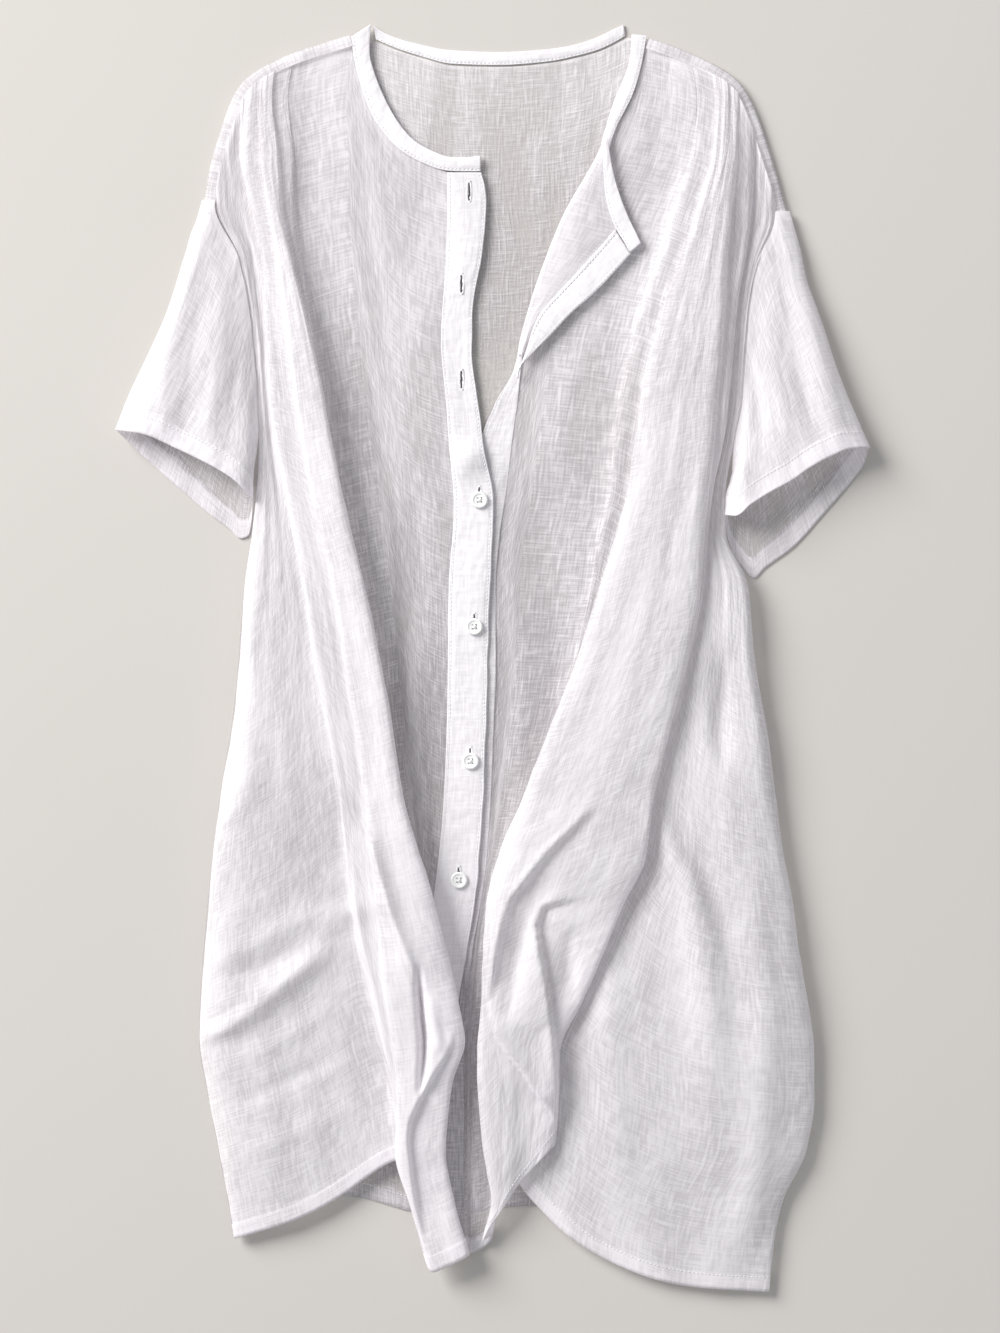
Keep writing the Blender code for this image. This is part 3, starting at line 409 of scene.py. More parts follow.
# Each band and the folded stand: outline, height, rows of points, seed, wall, and the shares of
# its width where it is stitched
STRIPS = {
    "left_neck_band": (NECK_BAND_LEFT, NECK_BAND_LEVEL, 130, 81, BAND_THICK, (0.14,)),
    "back_neck_band": (NECK_BAND_BACK, BACK_LEVEL + 0.4, 140, 83, 0.9, (0.14,)),
    "right_neck_band": (NECK_BAND_RIGHT, NECK_BAND_LEVEL, 60, 85, BAND_THICK, (0.14,)),
    "folded_neck_band": (NECK_BAND_FLAP, FLAP_LEVEL + 0.3, 60, 87, BAND_THICK, (0.14,)),
    "folded_stand": (PLACKET_FLAP, FLAP_LEVEL + 0.2, 100, 89, BAND_THICK, (0.1, 0.92)),
}
# Each piece of cloth: its node, the pieces that it lies on, and the cut of what shows: width and
# length in metres, and area in square metres
CLOTH = {
    "back": ("back_panel", (), 0.50, 0.95, 0.425),
    "left_front": ("front_left", ("back",), 0.29, 0.95, 0.235),
    "right_front": ("front_right", ("back",), 0.30, 0.98, 0.255),
    "left_sleeve": ("sleeve_left", ("back",), 0.40, 0.19, 0.042),
    "right_sleeve": ("sleeve_right", ("back",), 0.40, 0.19, 0.043),
    "buttonhole_stand": ("placket_left", ("left_front",), 0.030, 0.82, 0.0246),
    "button_stand": ("placket_right", ("right_front",), 0.030, 0.66, 0.0198),
    "folded_stand": ("placket_flap", ("right_front",), 0.024, 0.14, 0.0022),
    "left_neck_band": ("neck_band_left", ("left_front",), 0.0115, 0.17, 0.0019),
    "back_neck_band": ("neck_band_back", ("back",), 0.0115, 0.20, 0.0021),
    "right_neck_band": ("neck_band_right", ("right_front",), 0.0115, 0.08, 0.0008),
    "folded_neck_band": ("neck_band_flap", ("right_front",), 0.0115, 0.09, 0.0008),
}


# Lines and sections


def smooth_curve(knots, values, at):
    """Values on a smooth curve through the knots, which never swings past them."""
    order = np.argsort(knots)
    knots = np.asarray(knots, float)[order]
    values = np.asarray(values, float)[order]
    steps = np.diff(knots)
    slopes = np.diff(values) / steps
    bends = np.zeros(len(knots))
    bends[[0, -1]] = slopes[[0, -1]]
    same = slopes[1:] * slopes[:-1] > 0
    total = np.where(same, slopes[1:] + slopes[:-1], 1.0)
    bends[1:-1] = np.where(same, 2 * slopes[1:] * slopes[:-1] / total, 0.0)
    at = np.clip(np.asarray(at, float), knots[0], knots[-1])
    span = np.clip(np.searchsorted(knots, at, side="right") - 1, 0, len(steps) - 1)
    width = steps[span]
    t = (at - knots[span]) / width
    near = values[span] * (1 + 2 * t) * (1 - t) ** 2 + values[span + 1] * t * t * (3 - 2 * t)
    return near + width * t * (1 - t) * (bends[span] * (1 - t) - bends[span + 1] * t)


def reach_along(points, axis=0):
    """How far each point lies from the start of its line, or of its row or column in a grid."""
    steps = np.linalg.norm(np.diff(points, axis=axis), axis=-1)
    return np.insert(np.cumsum(steps, axis=axis), 0, 0.0, axis=axis)


def along(points, shares):
    """Points at the given shares of the length of a line through the given points."""
    points = np.asarray(points, float)
    reach = reach_along(points)
    return np.stack([smooth_curve(reach, column, shares * reach[-1]) for column in points.T], axis=-1)


def smooth_line(points, count):
    """The line through the points, cut in even steps, with its corners eased."""
    line = along(points, np.linspace(0, 1, count))
    for _ in range(max(1, count // 8)):
        line[1:-1] = (line[:-2] + 2 * line[1:-1] + line[2:]) / 4
    return line


def inset_line(points, inward_side, distance):
    """The line through the points, moved sideways. inward_side: 1 to its right, -1 to its left."""
    run = np.gradient(points, axis=0)
    run /= np.linalg.norm(run, axis=1)[:, None]
    return points + np.stack([run[:, 1], -run[:, 0]], axis=-1) * inward_side * distance


def section_frame(sections, y):
    """The control points (x, z) of the section across a front at each height y."""
    table = np.asarray(sections, float)
    row = {name: smooth_curve(table[:, 0], table[:, k], y) for k, name in enumerate(SECTION_COLUMNS)}
    mid_in = (row["low"] + row["top_in"]) / 2
    mid_out = (row["low_out"] + row["top_out"]) / 2
    third = (row["crest_out"] - row["crest_in"]) / 3
    return (
        (row["inner"], row["low"]),
        ((row["inner"] + row["foot_in"]) / 2, row["low"]),
        (row["foot_in"], row["low"]),
        (row["foot_in"], mid_in),
        (row["crest_in"], mid_in),
        (row["crest_in"], row["top_in"]),
        (row["crest_in"] + third, row["top_in"] + 1),
        (row["crest_in"] + 2 * third, row["top_out"] + 1),
        (row["crest_out"], row["top_out"]),
        (row["crest_out"], mid_out),
        (row["foot_out"], mid_out),
        (row["foot_out"], row["low_out"]),
        ((row["foot_out"] + row["side"]) / 2, row["side_z"]),
        (row["side"], row["side_z"]),
        (row["side"], row["edge_z"]),
    )


def blend_weights(count, u):
    """On a smooth line guided by count points: the first of the three that count at u, and weights."""
    spans = count - 2
    first = np.clip(np.floor(u * spans).astype(int), 0, spans - 1)
    t = u * spans - first
    s = 1 - t
    weights = np.stack([s * s / 2, (1 + 2 * t - 2 * t * t) / 2, t * t / 2])
    starts = first == 0
    weights[0] = np.where(starts, s * s, weights[0])
    weights[1] = np.where(starts, 2 * t - 1.5 * t * t, weights[1])
    ends = first == spans - 1
    weights[2] = np.where(ends, t * t, weights[2])
    weights[1] = np.where(ends, 2 * s - 1.5 * s * s, weights[1])
    return first, weights


def front_point(sections, gathers, u, y):
    """The place (x, z) on a front at share u of its section and height y."""
    frame_points = np.array(section_frame(sections, y))
    first, weights = blend_weights(len(frame_points), u)
    spot = np.arange(len(u))
    x, z = sum(weights[k][:, None] * frame_points[first + k, :, spot] for k in range(3)).T
    for gather in gathers:
        knots = np.array(gather, float)
        ridge_x, height, half = (smooth_curve(knots[:, 0], knots[:, k], y) for k in (1, 2, 3))
        inside = (y <= knots[:, 0].max()) & (y >= knots[:, 0].min())
        z = z + height * inside * np.exp(-((x - ridge_x) / half) ** 2)
    return x, z


def front_grid(sections, gathers, top_line, hem):
    """Rows of points over a whole front, from its top line down to its hem."""
    u = np.linspace(0, 1, (len(hem) - 2) * STEPS_A_SPAN + 1)
    above = np.full(len(u), 500.0)
    below = np.full(len(u), 150.0)
    for _ in range(HALVINGS):
        middle = (above + below) / 2
        x, _ = front_point(sections, gathers, u, middle)
        outside = middle > np.interp(x, top_line[:, 0], top_line[:, 1])
        above = np.where(outside, middle, above)
        below = np.where(outside, below, middle)
    first, weights = blend_weights(len(hem), u)
    hem_y = sum(weights[k] * np.array(hem, float)[first + k] for k in range(3))
    rows = []
    for v in np.linspace(0, 1, PANEL_ROWS):
        y = below + (hem_y - below) * v
        x, z = front_point(sections, gathers, u, y)
        rows.append(np.stack([x, y, z + FRONT_LIFT], axis=-1))
    return np.array(rows)


# Relief of the cloth


def grid_normals(rows):
    """Unit normals of a grid of points, upwards where the grid runs down the page."""
    normals = np.cross(np.gradient(rows, axis=0), np.gradient(rows, axis=1))
    return normals / np.maximum(np.linalg.norm(normals, axis=-1, keepdims=True), 1e-9)


def cloth_scale(rows):
    """How far each column lies across the cloth and each row down it, in millimetres."""
    return reach_along(rows, 1).mean(axis=0), reach_along(rows, 0).mean(axis=1)


def soft_noise(x, y, seed):
    """Smooth unevenness from -1 to 1 over a plane with features about one unit wide."""
    cells = np.random.default_rng(seed).uniform(-1, 1, (NOISE_CELLS, NOISE_CELLS))
    i = np.floor(x).astype(int)
    j = np.floor(y).astype(int)
    s, t = (step * step * (3 - 2 * step) for step in (x - i, y - j))
    near, above, right, far = (
        cells[(i + a) % NOISE_CELLS, (j + b) % NOISE_CELLS] for a in (0, 1) for b in (0, 1)
    )
    return (near * (1 - s) + right * s) * (1 - t) + (above * (1 - s) + far * s) * t


def beside_line(plan, line):
    """Signed distance of each point from a line, and the share of the line that it is beside."""
    share = np.linspace(0, 1, 14)
    line = along(line, share)
    nearest = np.full(plan.shape[:2], np.inf)
    at = np.zeros(plan.shape[:2])
    side = np.ones(plan.shape[:2])
    for k, run in enumerate(np.diff(line, axis=0)):
        off = plan - line[k]
        t = np.clip((off @ run) / (run @ run), 0, 1)
        distance = np.linalg.norm(off - t[..., None] * run, axis=-1)
        closer = distance < nearest
        nearest = np.where(closer, distance, nearest)
        at = np.where(closer, share[k] + t * (share[k + 1] - share[k]), at)
        side = np.where(closer, np.sign(run[0] * off[..., 1] - run[1] * off[..., 0]), side)
    return nearest * side, at


def crease_relief(rows, creases, lips):
    """Height that the listed creases and fold edges add at each point of a grid."""
    relief = np.zeros(rows.shape[:2])
    for height, half, line in creases:
        off, at = beside_line(rows[..., :2], line)
        relief += height * np.sin(np.pi * at) ** 0.7 * np.exp(-(off / half) ** 2)
    for height, high_side, line in lips:
        off, at = beside_line(rows[..., :2], line)
        taper = np.clip(at / 0.25, 0, 1) * np.clip((1 - at) / 0.2, 0, 1)
        step = np.tanh(off * high_side / LIP_SHARP) * np.exp(-np.abs(off) / LIP_FALL)
        relief += 0.5 * height * taper * step
    return relief


def crumple(rows, seed, amount, creases, calm=1.0, lips=()):
    """Raises a grid of cloth with its creases and the small unevenness of crumpled linen.

    calm: the share of both that each column keeps.
    """
    across, down = cloth_scale(rows)
    x, y = np.meshgrid(across, down)
    sway = 6 * soft_noise(x / 60, y / 90, seed + 7)
    long_waves = soft_noise((x + sway) / 15, y / 110, seed)
    short_waves = soft_noise((x + sway) / 7, y / 38, seed + 1)
    cross_waves = soft_noise(x / 34, y / 13, seed + 2)
    relief = amount * (0.75 + 0.6 * long_waves + 0.32 * short_waves + 0.2 * cross_waves)
    made = rows + grid_normals(rows) * (relief * calm)[..., None]
    made[..., 2] += crease_relief(rows, creases, lips) * calm
    return made


def edge_density(rows, sides, soft=0.5):
    """How doubled the cloth is near the given sides of a grid: name, width and strength."""
    across = reach_along(rows, 1)
    down = reach_along(rows, 0)
    reach = {"end": across[:, -1:] - across, "top": down, "hem": down[-1:] - down}
    dense = np.zeros(rows.shape[:2])
    for side, width, strength in sides:
        dense = np.maximum(dense, strength * np.clip((width - reach[side]) / soft, 0, 1))
    return dense


def band_density(shape, band, beyond):
    """How doubled a front is by its folded band, fading near the shoulder. Past the band it also paints
    the cloth whiter, as painted light, and it is whiter and denser toward the neck over the upper half of
    the front.
    """
    at = np.linspace(0, len(LEFT_HEM) - 2, shape[1]) + 0.5
    rise = np.clip((at - band + 1) / 1.2, 0, 1)
    rise = rise * (1 - (1 - beyond) * np.clip((at - BAND_END) / 1.6, 0, 1))
    down = np.linspace(0, 1, shape[0])[:, None]
    fade = 0.6 + 0.4 * np.clip((down - 0.06) / 0.3, 0, 1)
    return 0.9 * np.maximum(rise * fade, np.minimum(0.55, 0.8 - 1.6 * down))


# Meshes


def add_piece(name, mesh, material):
    """Makes an object from a bmesh, in metres and at the origin."""
    data = bpy.data.meshes.new(name)
    mesh.to_mesh(data)
    mesh.free()
    data.materials.append(material)
    data.shade_smooth()
    piece = bpy.data.objects.new(name, data)
    bpy.context.collection.objects.link(piece)
    return piece


def dress(piece, slot, *nodes):
    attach(piece, "root")
    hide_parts(*nodes)
    return piece


def add_cloth(mesh, rows, dense):
    """Adds a grid of cloth to a bmesh, with its weave map in metres and how doubled it is, which also
    sets its painted shade.
    """
    across, down = cloth_scale(rows)
    count_v, count_u = rows.shape[:2]
    weave = mesh.loops.layers.uv.get("weave") or mesh.loops.layers.uv.new("weave")
    doubling_and_shade = mesh.verts.layers.float.get("doubling_and_shade") or mesh.verts.layers.float.new("doubling_and_shade")
    made = bmesh.ops.create_grid(mesh, x_segments=count_u - 1, y_segments=count_v - 1, size=0.5)
    spots = (rows + SHIFT) * MM
    places = {}
    faces = set()
    for vert in made["verts"]:
        i = round((vert.co.x + 0.5) * (count_u - 1))
        j = round((vert.co.y + 0.5) * (count_v - 1))
        vert.co = spots[j, i]
        vert[doubling_and_shade] = float(dense[j, i])
        places[vert] = (across[i] * MM, down[j] * MM)
        faces.update(vert.link_faces)
    for face in faces:
        for loop in face.loops:
            loop[weave].uv = places[loop.vert]


def add_hemmed(mesh, rows, dense, depth, drop=0.7):
    """Adds cloth that is turned under along its last row, so that the hem is really double."""
    normals = grid_normals(rows)
    step = np.linalg.norm(rows[-1] - rows[-2], axis=-1).mean()
    turned = max(2, round(depth / step)) + 1
    under = (rows - normals * drop)[::-1][:turned]
    add_cloth(mesh, np.concatenate([rows, under]), np.concatenate([dense, dense[::-1][:turned]]))


def cloth_piece(name, mesh, material, faces="up", thick=0.0):
    """Finishes a piece of cloth, which faces up, down or out, with a wall if it has one."""
    bmesh.ops.remove_doubles(mesh, verts=mesh.verts, dist=MERGE)
    mesh.normal_update()
    if faces == "out":
        middle = sum(face.calc_center_median().z for face in mesh.faces) / len(mesh.faces)
        facing = sum(
            face.normal.z * (face.calc_center_median().z - middle) * face.calc_area()
            for face in mesh.faces
        )
    else:
        facing = sum(face.normal.z * face.calc_area() for face in mesh.faces)
    if (facing < 0) != (faces == "down"):
        bmesh.ops.reverse_faces(mesh, faces=mesh.faces)
    piece = add_piece(name, mesh, material)
    if thick:
        wall = piece.modifiers.new("wall", "SOLIDIFY")
        wall.thickness = thick * MM
        wall.offset = 0
    return dress(piece, "linen_doubled" if thick else "linen_gauze", CLOTH[name][0])


def sew(mesh, path, lift=0.25, pitch=STITCH_PITCH, length=STITCH_LENGTH, radius=STITCH_RADIUS):
    """Adds a row of stitches along a line of points (millimetres), each a small rounded thread."""
    path = np.asarray(path) + SHIFT + (0, 0, lift)
    reach = reach_along(path)
    spots = np.arange(pitch / 2, reach[-1] - pitch / 2, pitch)
    for number, spot in enumerate(spots):
        start, end = (
            Vector([np.interp(spot + side * length / 2, reach, path[:, k]) for k in range(3)]) * MM
            for side in (-1, 1)
        )
        run = end - start
        if run.length < 1e-6:
            continue
        turn = run.to_track_quat("X", "Z").to_matrix().to_4x4()
        wobble = 1 + 0.12 * math.sin(number * 2.4)
        size = Matrix.Diagonal((run.length / 2 * wobble, radius * MM, radius * MM, 1))
        place = Matrix.Translation((start + end) / 2) @ turn @ size
        bmesh.ops.create_icosphere(mesh, subdivisions=1, radius=1.0, matrix=place)


def hem_path(rows, depth):
    """The line across a grid where a hem of this depth is stitched."""
    reach = reach_along(rows[::-1])
    order = np.arange(len(rows))[::-1]
    spots = []
    for i in range(rows.shape[1]):
        j = np.interp(depth - STITCH_INSET, reach[:, i], order)
        low = min(int(j), len(rows) - 2)
        spots.append(rows[low, i] + (rows[low + 1, i] - rows[low, i]) * (j - low))
    return np.array(spots)


def column_path(rows, share, thick):
    """A line down the upper face of a strip at a share of its width."""
    i = share * (rows.shape[1] - 1)
    part = i - int(i)
    return rows[:, int(i)] * (1 - part) + rows[:, int(i) + 1] * part + (0, 0, thick / 2)


# Materials


class Nodes:
    """A short way to add and join a material's nodes."""

    def __init__(self, name):
        self.material = bpy.data.materials.new(name)
        self.material.use_nodes = True
        self.tree = self.material.node_tree
        self.tree.nodes.clear()

    def add(self, kind, inputs=(), output=0, **settings):
        """Adds a node with its settings and inputs, and returns one of its outputs."""
        node = self.tree.nodes.new(kind)
        for key, value in settings.items():
            setattr(node, key, value)
        for key, value in dict(inputs).items():
            if isinstance(value, bpy.types.NodeSocket):
                self.tree.links.new(value, node.inputs[key])
            else:
                node.inputs[key].default_value = value
        return node.outputs[output] if node.outputs else None

    def sum(self, first, second, clamp=False):
        return self.add("ShaderNodeMath", {0: first, 1: second}, operation="ADD", use_clamp=clamp)

    def scaled(self, value, factor):
        return self.add("ShaderNodeMath", {0: value, 1: factor}, operation="MULTIPLY")

    def noise(self, place, scale, shift=0.0, detail=0.0, rough=0.5, dimensions="2D"):
        """Noise stretched along one direction. scale: features a metre along each axis."""
        moved = self.add("ShaderNodeMapping", {
            "Vector": place, "Scale": scale, "Location": (shift, shift * 1.7, shift * 0.3)})
        return self.add("ShaderNodeTexNoise", {
            "Vector": moved, "Scale": 1.0, "Detail": detail, "Roughness": rough,
        }, noise_dimensions=dimensions)

    def speckle(self, scale, detail, rough=0.5):
        """The same in every direction, fixed to the object."""
        place = self.add("ShaderNodeTexCoord", output="Object")
        return self.noise(place, (scale, scale, scale), 0.0, detail, rough, "3D")

    def ramp(self, value, low, high, out_low=0.0, out_high=1.0):
        return self.add("ShaderNodeMapRange", {
            0: value, 1: low, 2: high, 3: out_low, 4: out_high}, interpolation_type="SMOOTHSTEP")

    def tint(self, value, dark, light):
        return self.add("ShaderNodeMix", {0: value, 6: (*dark, 1), 7: (*light, 1)}, 2, data_type="RGBA")

    def relief(self, height, strength, depth):
        return self.add("ShaderNodeBump", {"Strength": strength, "Distance": depth, "Height": height})

    def skin(self, colour, normal, **gloss):
        inputs = {key.replace("_", " "): value for key, value in gloss.items()}
        return self.add("ShaderNodeBsdfPrincipled", {"Base Color": colour, "Normal": normal, **inputs})

    def finish(self, surface):
        self.add("ShaderNodeOutputMaterial", {0: surface})
        return self.material


def linen(name, gain, doubled_cover, pucker, glow):
    """White slubby linen, sheer where it is single, and painted darker there: its grey is painted shade
    of the open cloth.

    gain: how uneven its threads are. doubled_cover: how much of the view its threads fill where it
    is double. pucker: height of the waves beside its seams. glow: the share of light that comes
    through its threads.
    """
    n = Nodes(name)
    uv = n.add("ShaderNodeUVMap", uv_map="weave")
    doubling_and_shade = n.add("ShaderNodeAttribute", output="Fac", attribute_name="doubling_and_shade")
    warp = n.noise(uv, (860, 62, 1))
    weft = n.noise(uv, (70, 820, 1), 7.7)
    slub_warp = n.ramp(n.noise(uv, (430, 58, 1), 12.3), 0.6, 0.8)
    slub_weft = n.ramp(n.noise(uv, (64, 460, 1), 21.9), 0.6, 0.8)
    patches = n.noise(uv, (46, 9, 1), 33.0)
    threads = n.sum(n.scaled(warp, 0.55), n.scaled(weft, 0.45))
    slubs = n.add("ShaderNodeMath", {0: slub_warp, 1: n.scaled(slub_weft, 0.85)}, operation="MAXIMUM")
    body = n.sum(n.ramp(threads, 0.34, 0.66, -gain, gain), n.scaled(slubs, 1.3 * gain))
    body = n.sum(body, n.ramp(patches, 0.3, 0.7, -gain, gain))
    filled = n.add("ShaderNodeMix", {
        0: doubling_and_shade, 2: n.sum(body, SINGLE_COVER), 3: doubled_cover,
    }, data_type="FLOAT", clamp_factor=False)
    opaque = n.sum(filled, n.scaled(body, 0.2), clamp=True)
    # Colour: the threads' own unevenness, plus painted shade that darkens the cloth the less doubled it
    # is
    thread_tone_and_shade = n.sum(n.ramp(doubling_and_shade, -1.0, 1.0, 0.0, 0.92), n.scaled(body, 1.3), clamp=True)
    colour = n.tint(thread_tone_and_shade, (0.585, 0.560, 0.588), (0.99, 0.964, 0.99))
    crinkle = n.noise(uv, (230, 105, 1), 41.0)
    height = n.sum(n.scaled(threads, 0.4), n.scaled(crinkle, 0.9))
    if pucker:
        height = n.sum(height, n.scaled(n.noise(uv, (60, 190, 1), 52.0, 1.0), pucker))
    normal = n.relief(height, 0.5, 0.0007)
    rough = n.ramp(threads, 0.3, 0.7, 0.95, 0.8)
    skin = n.skin(colour, normal, Roughness=rough, Specular_IOR_Level=0.2)
    through = n.add("ShaderNodeBsdfTranslucent", {"Color": colour, "Normal": normal})
    lit = n.add("ShaderNodeMixShader", {0: glow, 1: skin, 2: through})
    clear = n.add("ShaderNodeBsdfTransparent")
    return n.finish(n.add("ShaderNodeMixShader", {0: opaque, 1: clear, 2: lit}))


def sewing_thread():
    n = Nodes("sewing_thread")
    twist = n.speckle(1500, 1.0)
    colour = n.tint(twist, (0.84, 0.84, 0.84), (0.94, 0.94, 0.95))
    return n.finish(n.skin(colour, n.relief(twist, 0.4, 0.0002), Roughness=0.6))


def button_plastic():
    n = Nodes("button_plastic")
    cloud = n.speckle(260, 3.0, 0.6)
    colour = n.tint(cloud, (0.86, 0.86, 0.85), (0.93, 0.93, 0.925))
    rough = n.ramp(cloud, 0.3, 0.7, 0.3, 0.42)
    return n.finish(n.skin(
        colour, n.relief(n.speckle(1400, 2.0), 0.15, 0.0001), Roughness=rough,
        Specular_IOR_Level=0.5, Coat_Weight=0.3, Coat_Roughness=0.15,
    ))


def studio_floor():
    n = Nodes("studio_floor")
    colour = n.tint(n.speckle(2.2, 2.0), (0.588, 0.564, 0.532), (0.603, 0.579, 0.547))
    grain = n.relief(n.speckle(420, 2.0), 0.1, 0.0004)
    return n.finish(n.skin(colour, grain, Roughness=0.9, Specular_IOR_Level=0.2))


# Pieces


def make_front(name, gauze):
    """A front with its folds, creases and hem. The right one has its folded-back corner too."""
    plan = FRONTS[name]
    shoulder = inset_line(smooth_line(plan["shoulder"], 40), plan["inward"], SHOULDER_WRAP)
    top = np.concatenate([shoulder, smooth_line(plan["neck"], plan["neck_points"])])
    top = top[np.argsort(top[:, 0])]
    rows = front_grid(plan["sections"], plan["gathers"], top, plan["hem"])
    calm = np.clip(np.arange(rows.shape[1]) / 10, plan["calmest"], 1)
    rows = crumple(rows, plan["seed"], plan["crumple"], plan["creases"], calm, plan["lips"])
    rows[..., 2] = np.maximum(rows[..., 2], LOWEST_FRONT)
    dense = edge_density(rows, (("top", SEAM_ALLOWANCE, 0.75), ("hem", HEM_DEPTH, 0.9)))
    dense = np.maximum(dense, edge_density(rows, (("end", 34, 0.8),), 30))
    # Painted light: the band's shaded wall and the cloth out to the side are painted whiter with the
    # band's doubling
    dense = np.maximum(dense, band_density(rows.shape, plan["band"], plan["beyond"]))
    mesh = bmesh.new()
    add_hemmed(mesh, rows, dense, HEM_DEPTH)
    if name == "right_front":
        flap = flap_rows(rows)
        add_cloth(mesh, flap, 0.72 + edge_density(flap, (("end", 7, 0.2),)))
    return cloth_piece(name, mesh, gauze), rows


def flap_rows(rows):
    """The folded-back corner: a roll along the panel's inner edge, then flat to its stitch line."""
    roll = rows[rows[:, 0, 1] >= FLAP_STITCH[-1][1], 0]
    reach = roll[0, 1] - roll[-1, 1]
    stitch = along(FLAP_STITCH, (roll[0, 1] - roll[:, 1]) / reach)
    flap = []
    for start, end in zip(roll, stitch):
        radius = (FLAP_LEVEL - start[2]) / 2
        turn = [
            (start[0] - radius * math.sin(a), start[1], start[2] + radius * (1 - math.cos(a)))
            for a in np.linspace(0, math.pi, 9)
        ]
        flat = [
            (*(start[:2] + (end - start[:2]) * t), FLAP_LEVEL + 0.9 * math.sin(math.pi * t))
            for t in np.linspace(0.05, 1.0, 20)
        ]
        flap.append(turn + flat)
    return np.array(flap)


def shoulder_wrap(points, inward_side):
    """Rows of points that carry the back over a shoulder edge to the seam with the front."""
    turn = [
        (0.5 + SHOULDER_ROLL * (1 - math.sin(angle)), BACK_LEVEL + SHOULDER_ROLL * (1 - math.cos(angle)))
        for angle in np.linspace(0, math.pi, 9)
    ]
    top = BACK_LEVEL + 2 * SHOULDER_ROLL + 0.2
    flat = [(SHOULDER_WRAP * 0.6, top), (SHOULDER_WRAP + 1.5, top)]
    return np.array([
        np.column_stack([inset_line(points, inward_side, distance), np.full(len(points), height)])
        for distance, height in turn + flat
    ])


def make_back(gauze):
    """The back lies on the surface, curls up at its sides and wraps over each shoulder."""
    side = SECTION_COLUMNS.index("side")
    edge = SECTION_COLUMNS.index("edge_z")
    left = np.asarray(LEFT_SECTIONS, float)
    right = np.asarray(RIGHT_SECTIONS, float)
    wrap_left = shoulder_wrap(smooth_line(LEFT_SHOULDER, 34), 1)
    wrap_right = shoulder_wrap(smooth_line(RIGHT_SHOULDER, 34), -1)
    neck = smooth_line(BACK_NECK, NECK_COLUMNS)
    top = np.concatenate([wrap_left[0, :, :2], neck, wrap_right[0, ::-1, :2]])
    share = (top[:, 0] - top[0, 0]) / (top[-1, 0] - top[0, 0])
    hem = np.array(BACK_HEM, float)
    hem_y = smooth_curve(hem[:, 0], hem[:, 1], hem[0, 0] + share * (hem[-1, 0] - hem[0, 0]))
    rows = []
    for v in np.linspace(0, 1, BACK_ROWS):
        y = top[:, 1] + (hem_y - top[:, 1]) * v
        free = min(v * 12, 1)
        held = BACK_INSET * np.clip((y[0] - CURL_START) / CURL_WIDTH, 0, 1)
        x_left, x_right = (
            (smooth_curve(table[:, 0], table[:, side], y) + inward) * free + top[:, 0] * (1 - free)
            for table, inward in ((left, held), (right, -held))
        )
        inner = CURL_WIDTH * free
        spread = x_left + inner + share * (x_right - x_left - 2 * inner)
        x = top[:, 0] * (1 - free) + spread * free
        row = [(x[k], y[k], BACK_LEVEL) for k in range(len(x))]
        for end, table, outer in ((0, left, x_left[0]), (-1, right, x_right[-1])):
            rise = smooth_curve(table[:, 0], table[:, edge], y[end]) + FRONT_LIFT - BACK_LEVEL
            rise *= np.clip((CURL_START - y[end]) / CURL_WIDTH / 3, 0, 1)
            curl = [
                (x[end] + (outer - x[end]) * s, y[end], BACK_LEVEL + rise * (1 - math.sqrt(1 - s * s)))
                for s in np.sin(np.linspace(0.15, math.pi / 2, 8))
            ]
            row = curl[::-1] + row if end == 0 else row + curl
        rows.append(row)
    rows = np.array(rows)
    relief = crumple(rows, 37, 0.25, BACK_CREASES)[..., 2] - rows[..., 2]
    rows[..., 2] += np.clip(relief, 0, 0.9)
    dense = edge_density(rows, (("top", 3, 0.4), ("hem", HEM_DEPTH, 0.7)))
    # Painted shade: the back is darker and more open, most deeply down the neck opening
    dense += np.interp(rows[..., 1], *BACK_OPENNESS_AND_SHADE)
    mesh = bmesh.new()
    add_hemmed(mesh, rows, dense, HEM_DEPTH, 0.45)
    for wrap in (wrap_left, wrap_right):
        add_cloth(mesh, wrap, edge_density(wrap, (("hem", SEAM_ALLOWANCE, 0.5),)))
    return cloth_piece("back", mesh, gauze, "down"), rows


def patch(ring, mouth, edge_out, edge_in, v, u):
    """A row of points, at share v, of the smooth sheet that fills four boundary lines."""
    mouth_at = along(mouth, u)
    out_at = along(edge_out, np.array([v]))
    in_at = along(edge_in, np.array([v]))
    across = u[:, None]
    corners = (1 - v) * ((1 - across) * ring[0] + across * ring[-1])
    corners = corners + v * ((1 - across) * mouth_at[0] + across * mouth_at[-1])
    return (1 - v) * ring + v * mouth_at + (1 - across) * out_at + across * in_at - corners


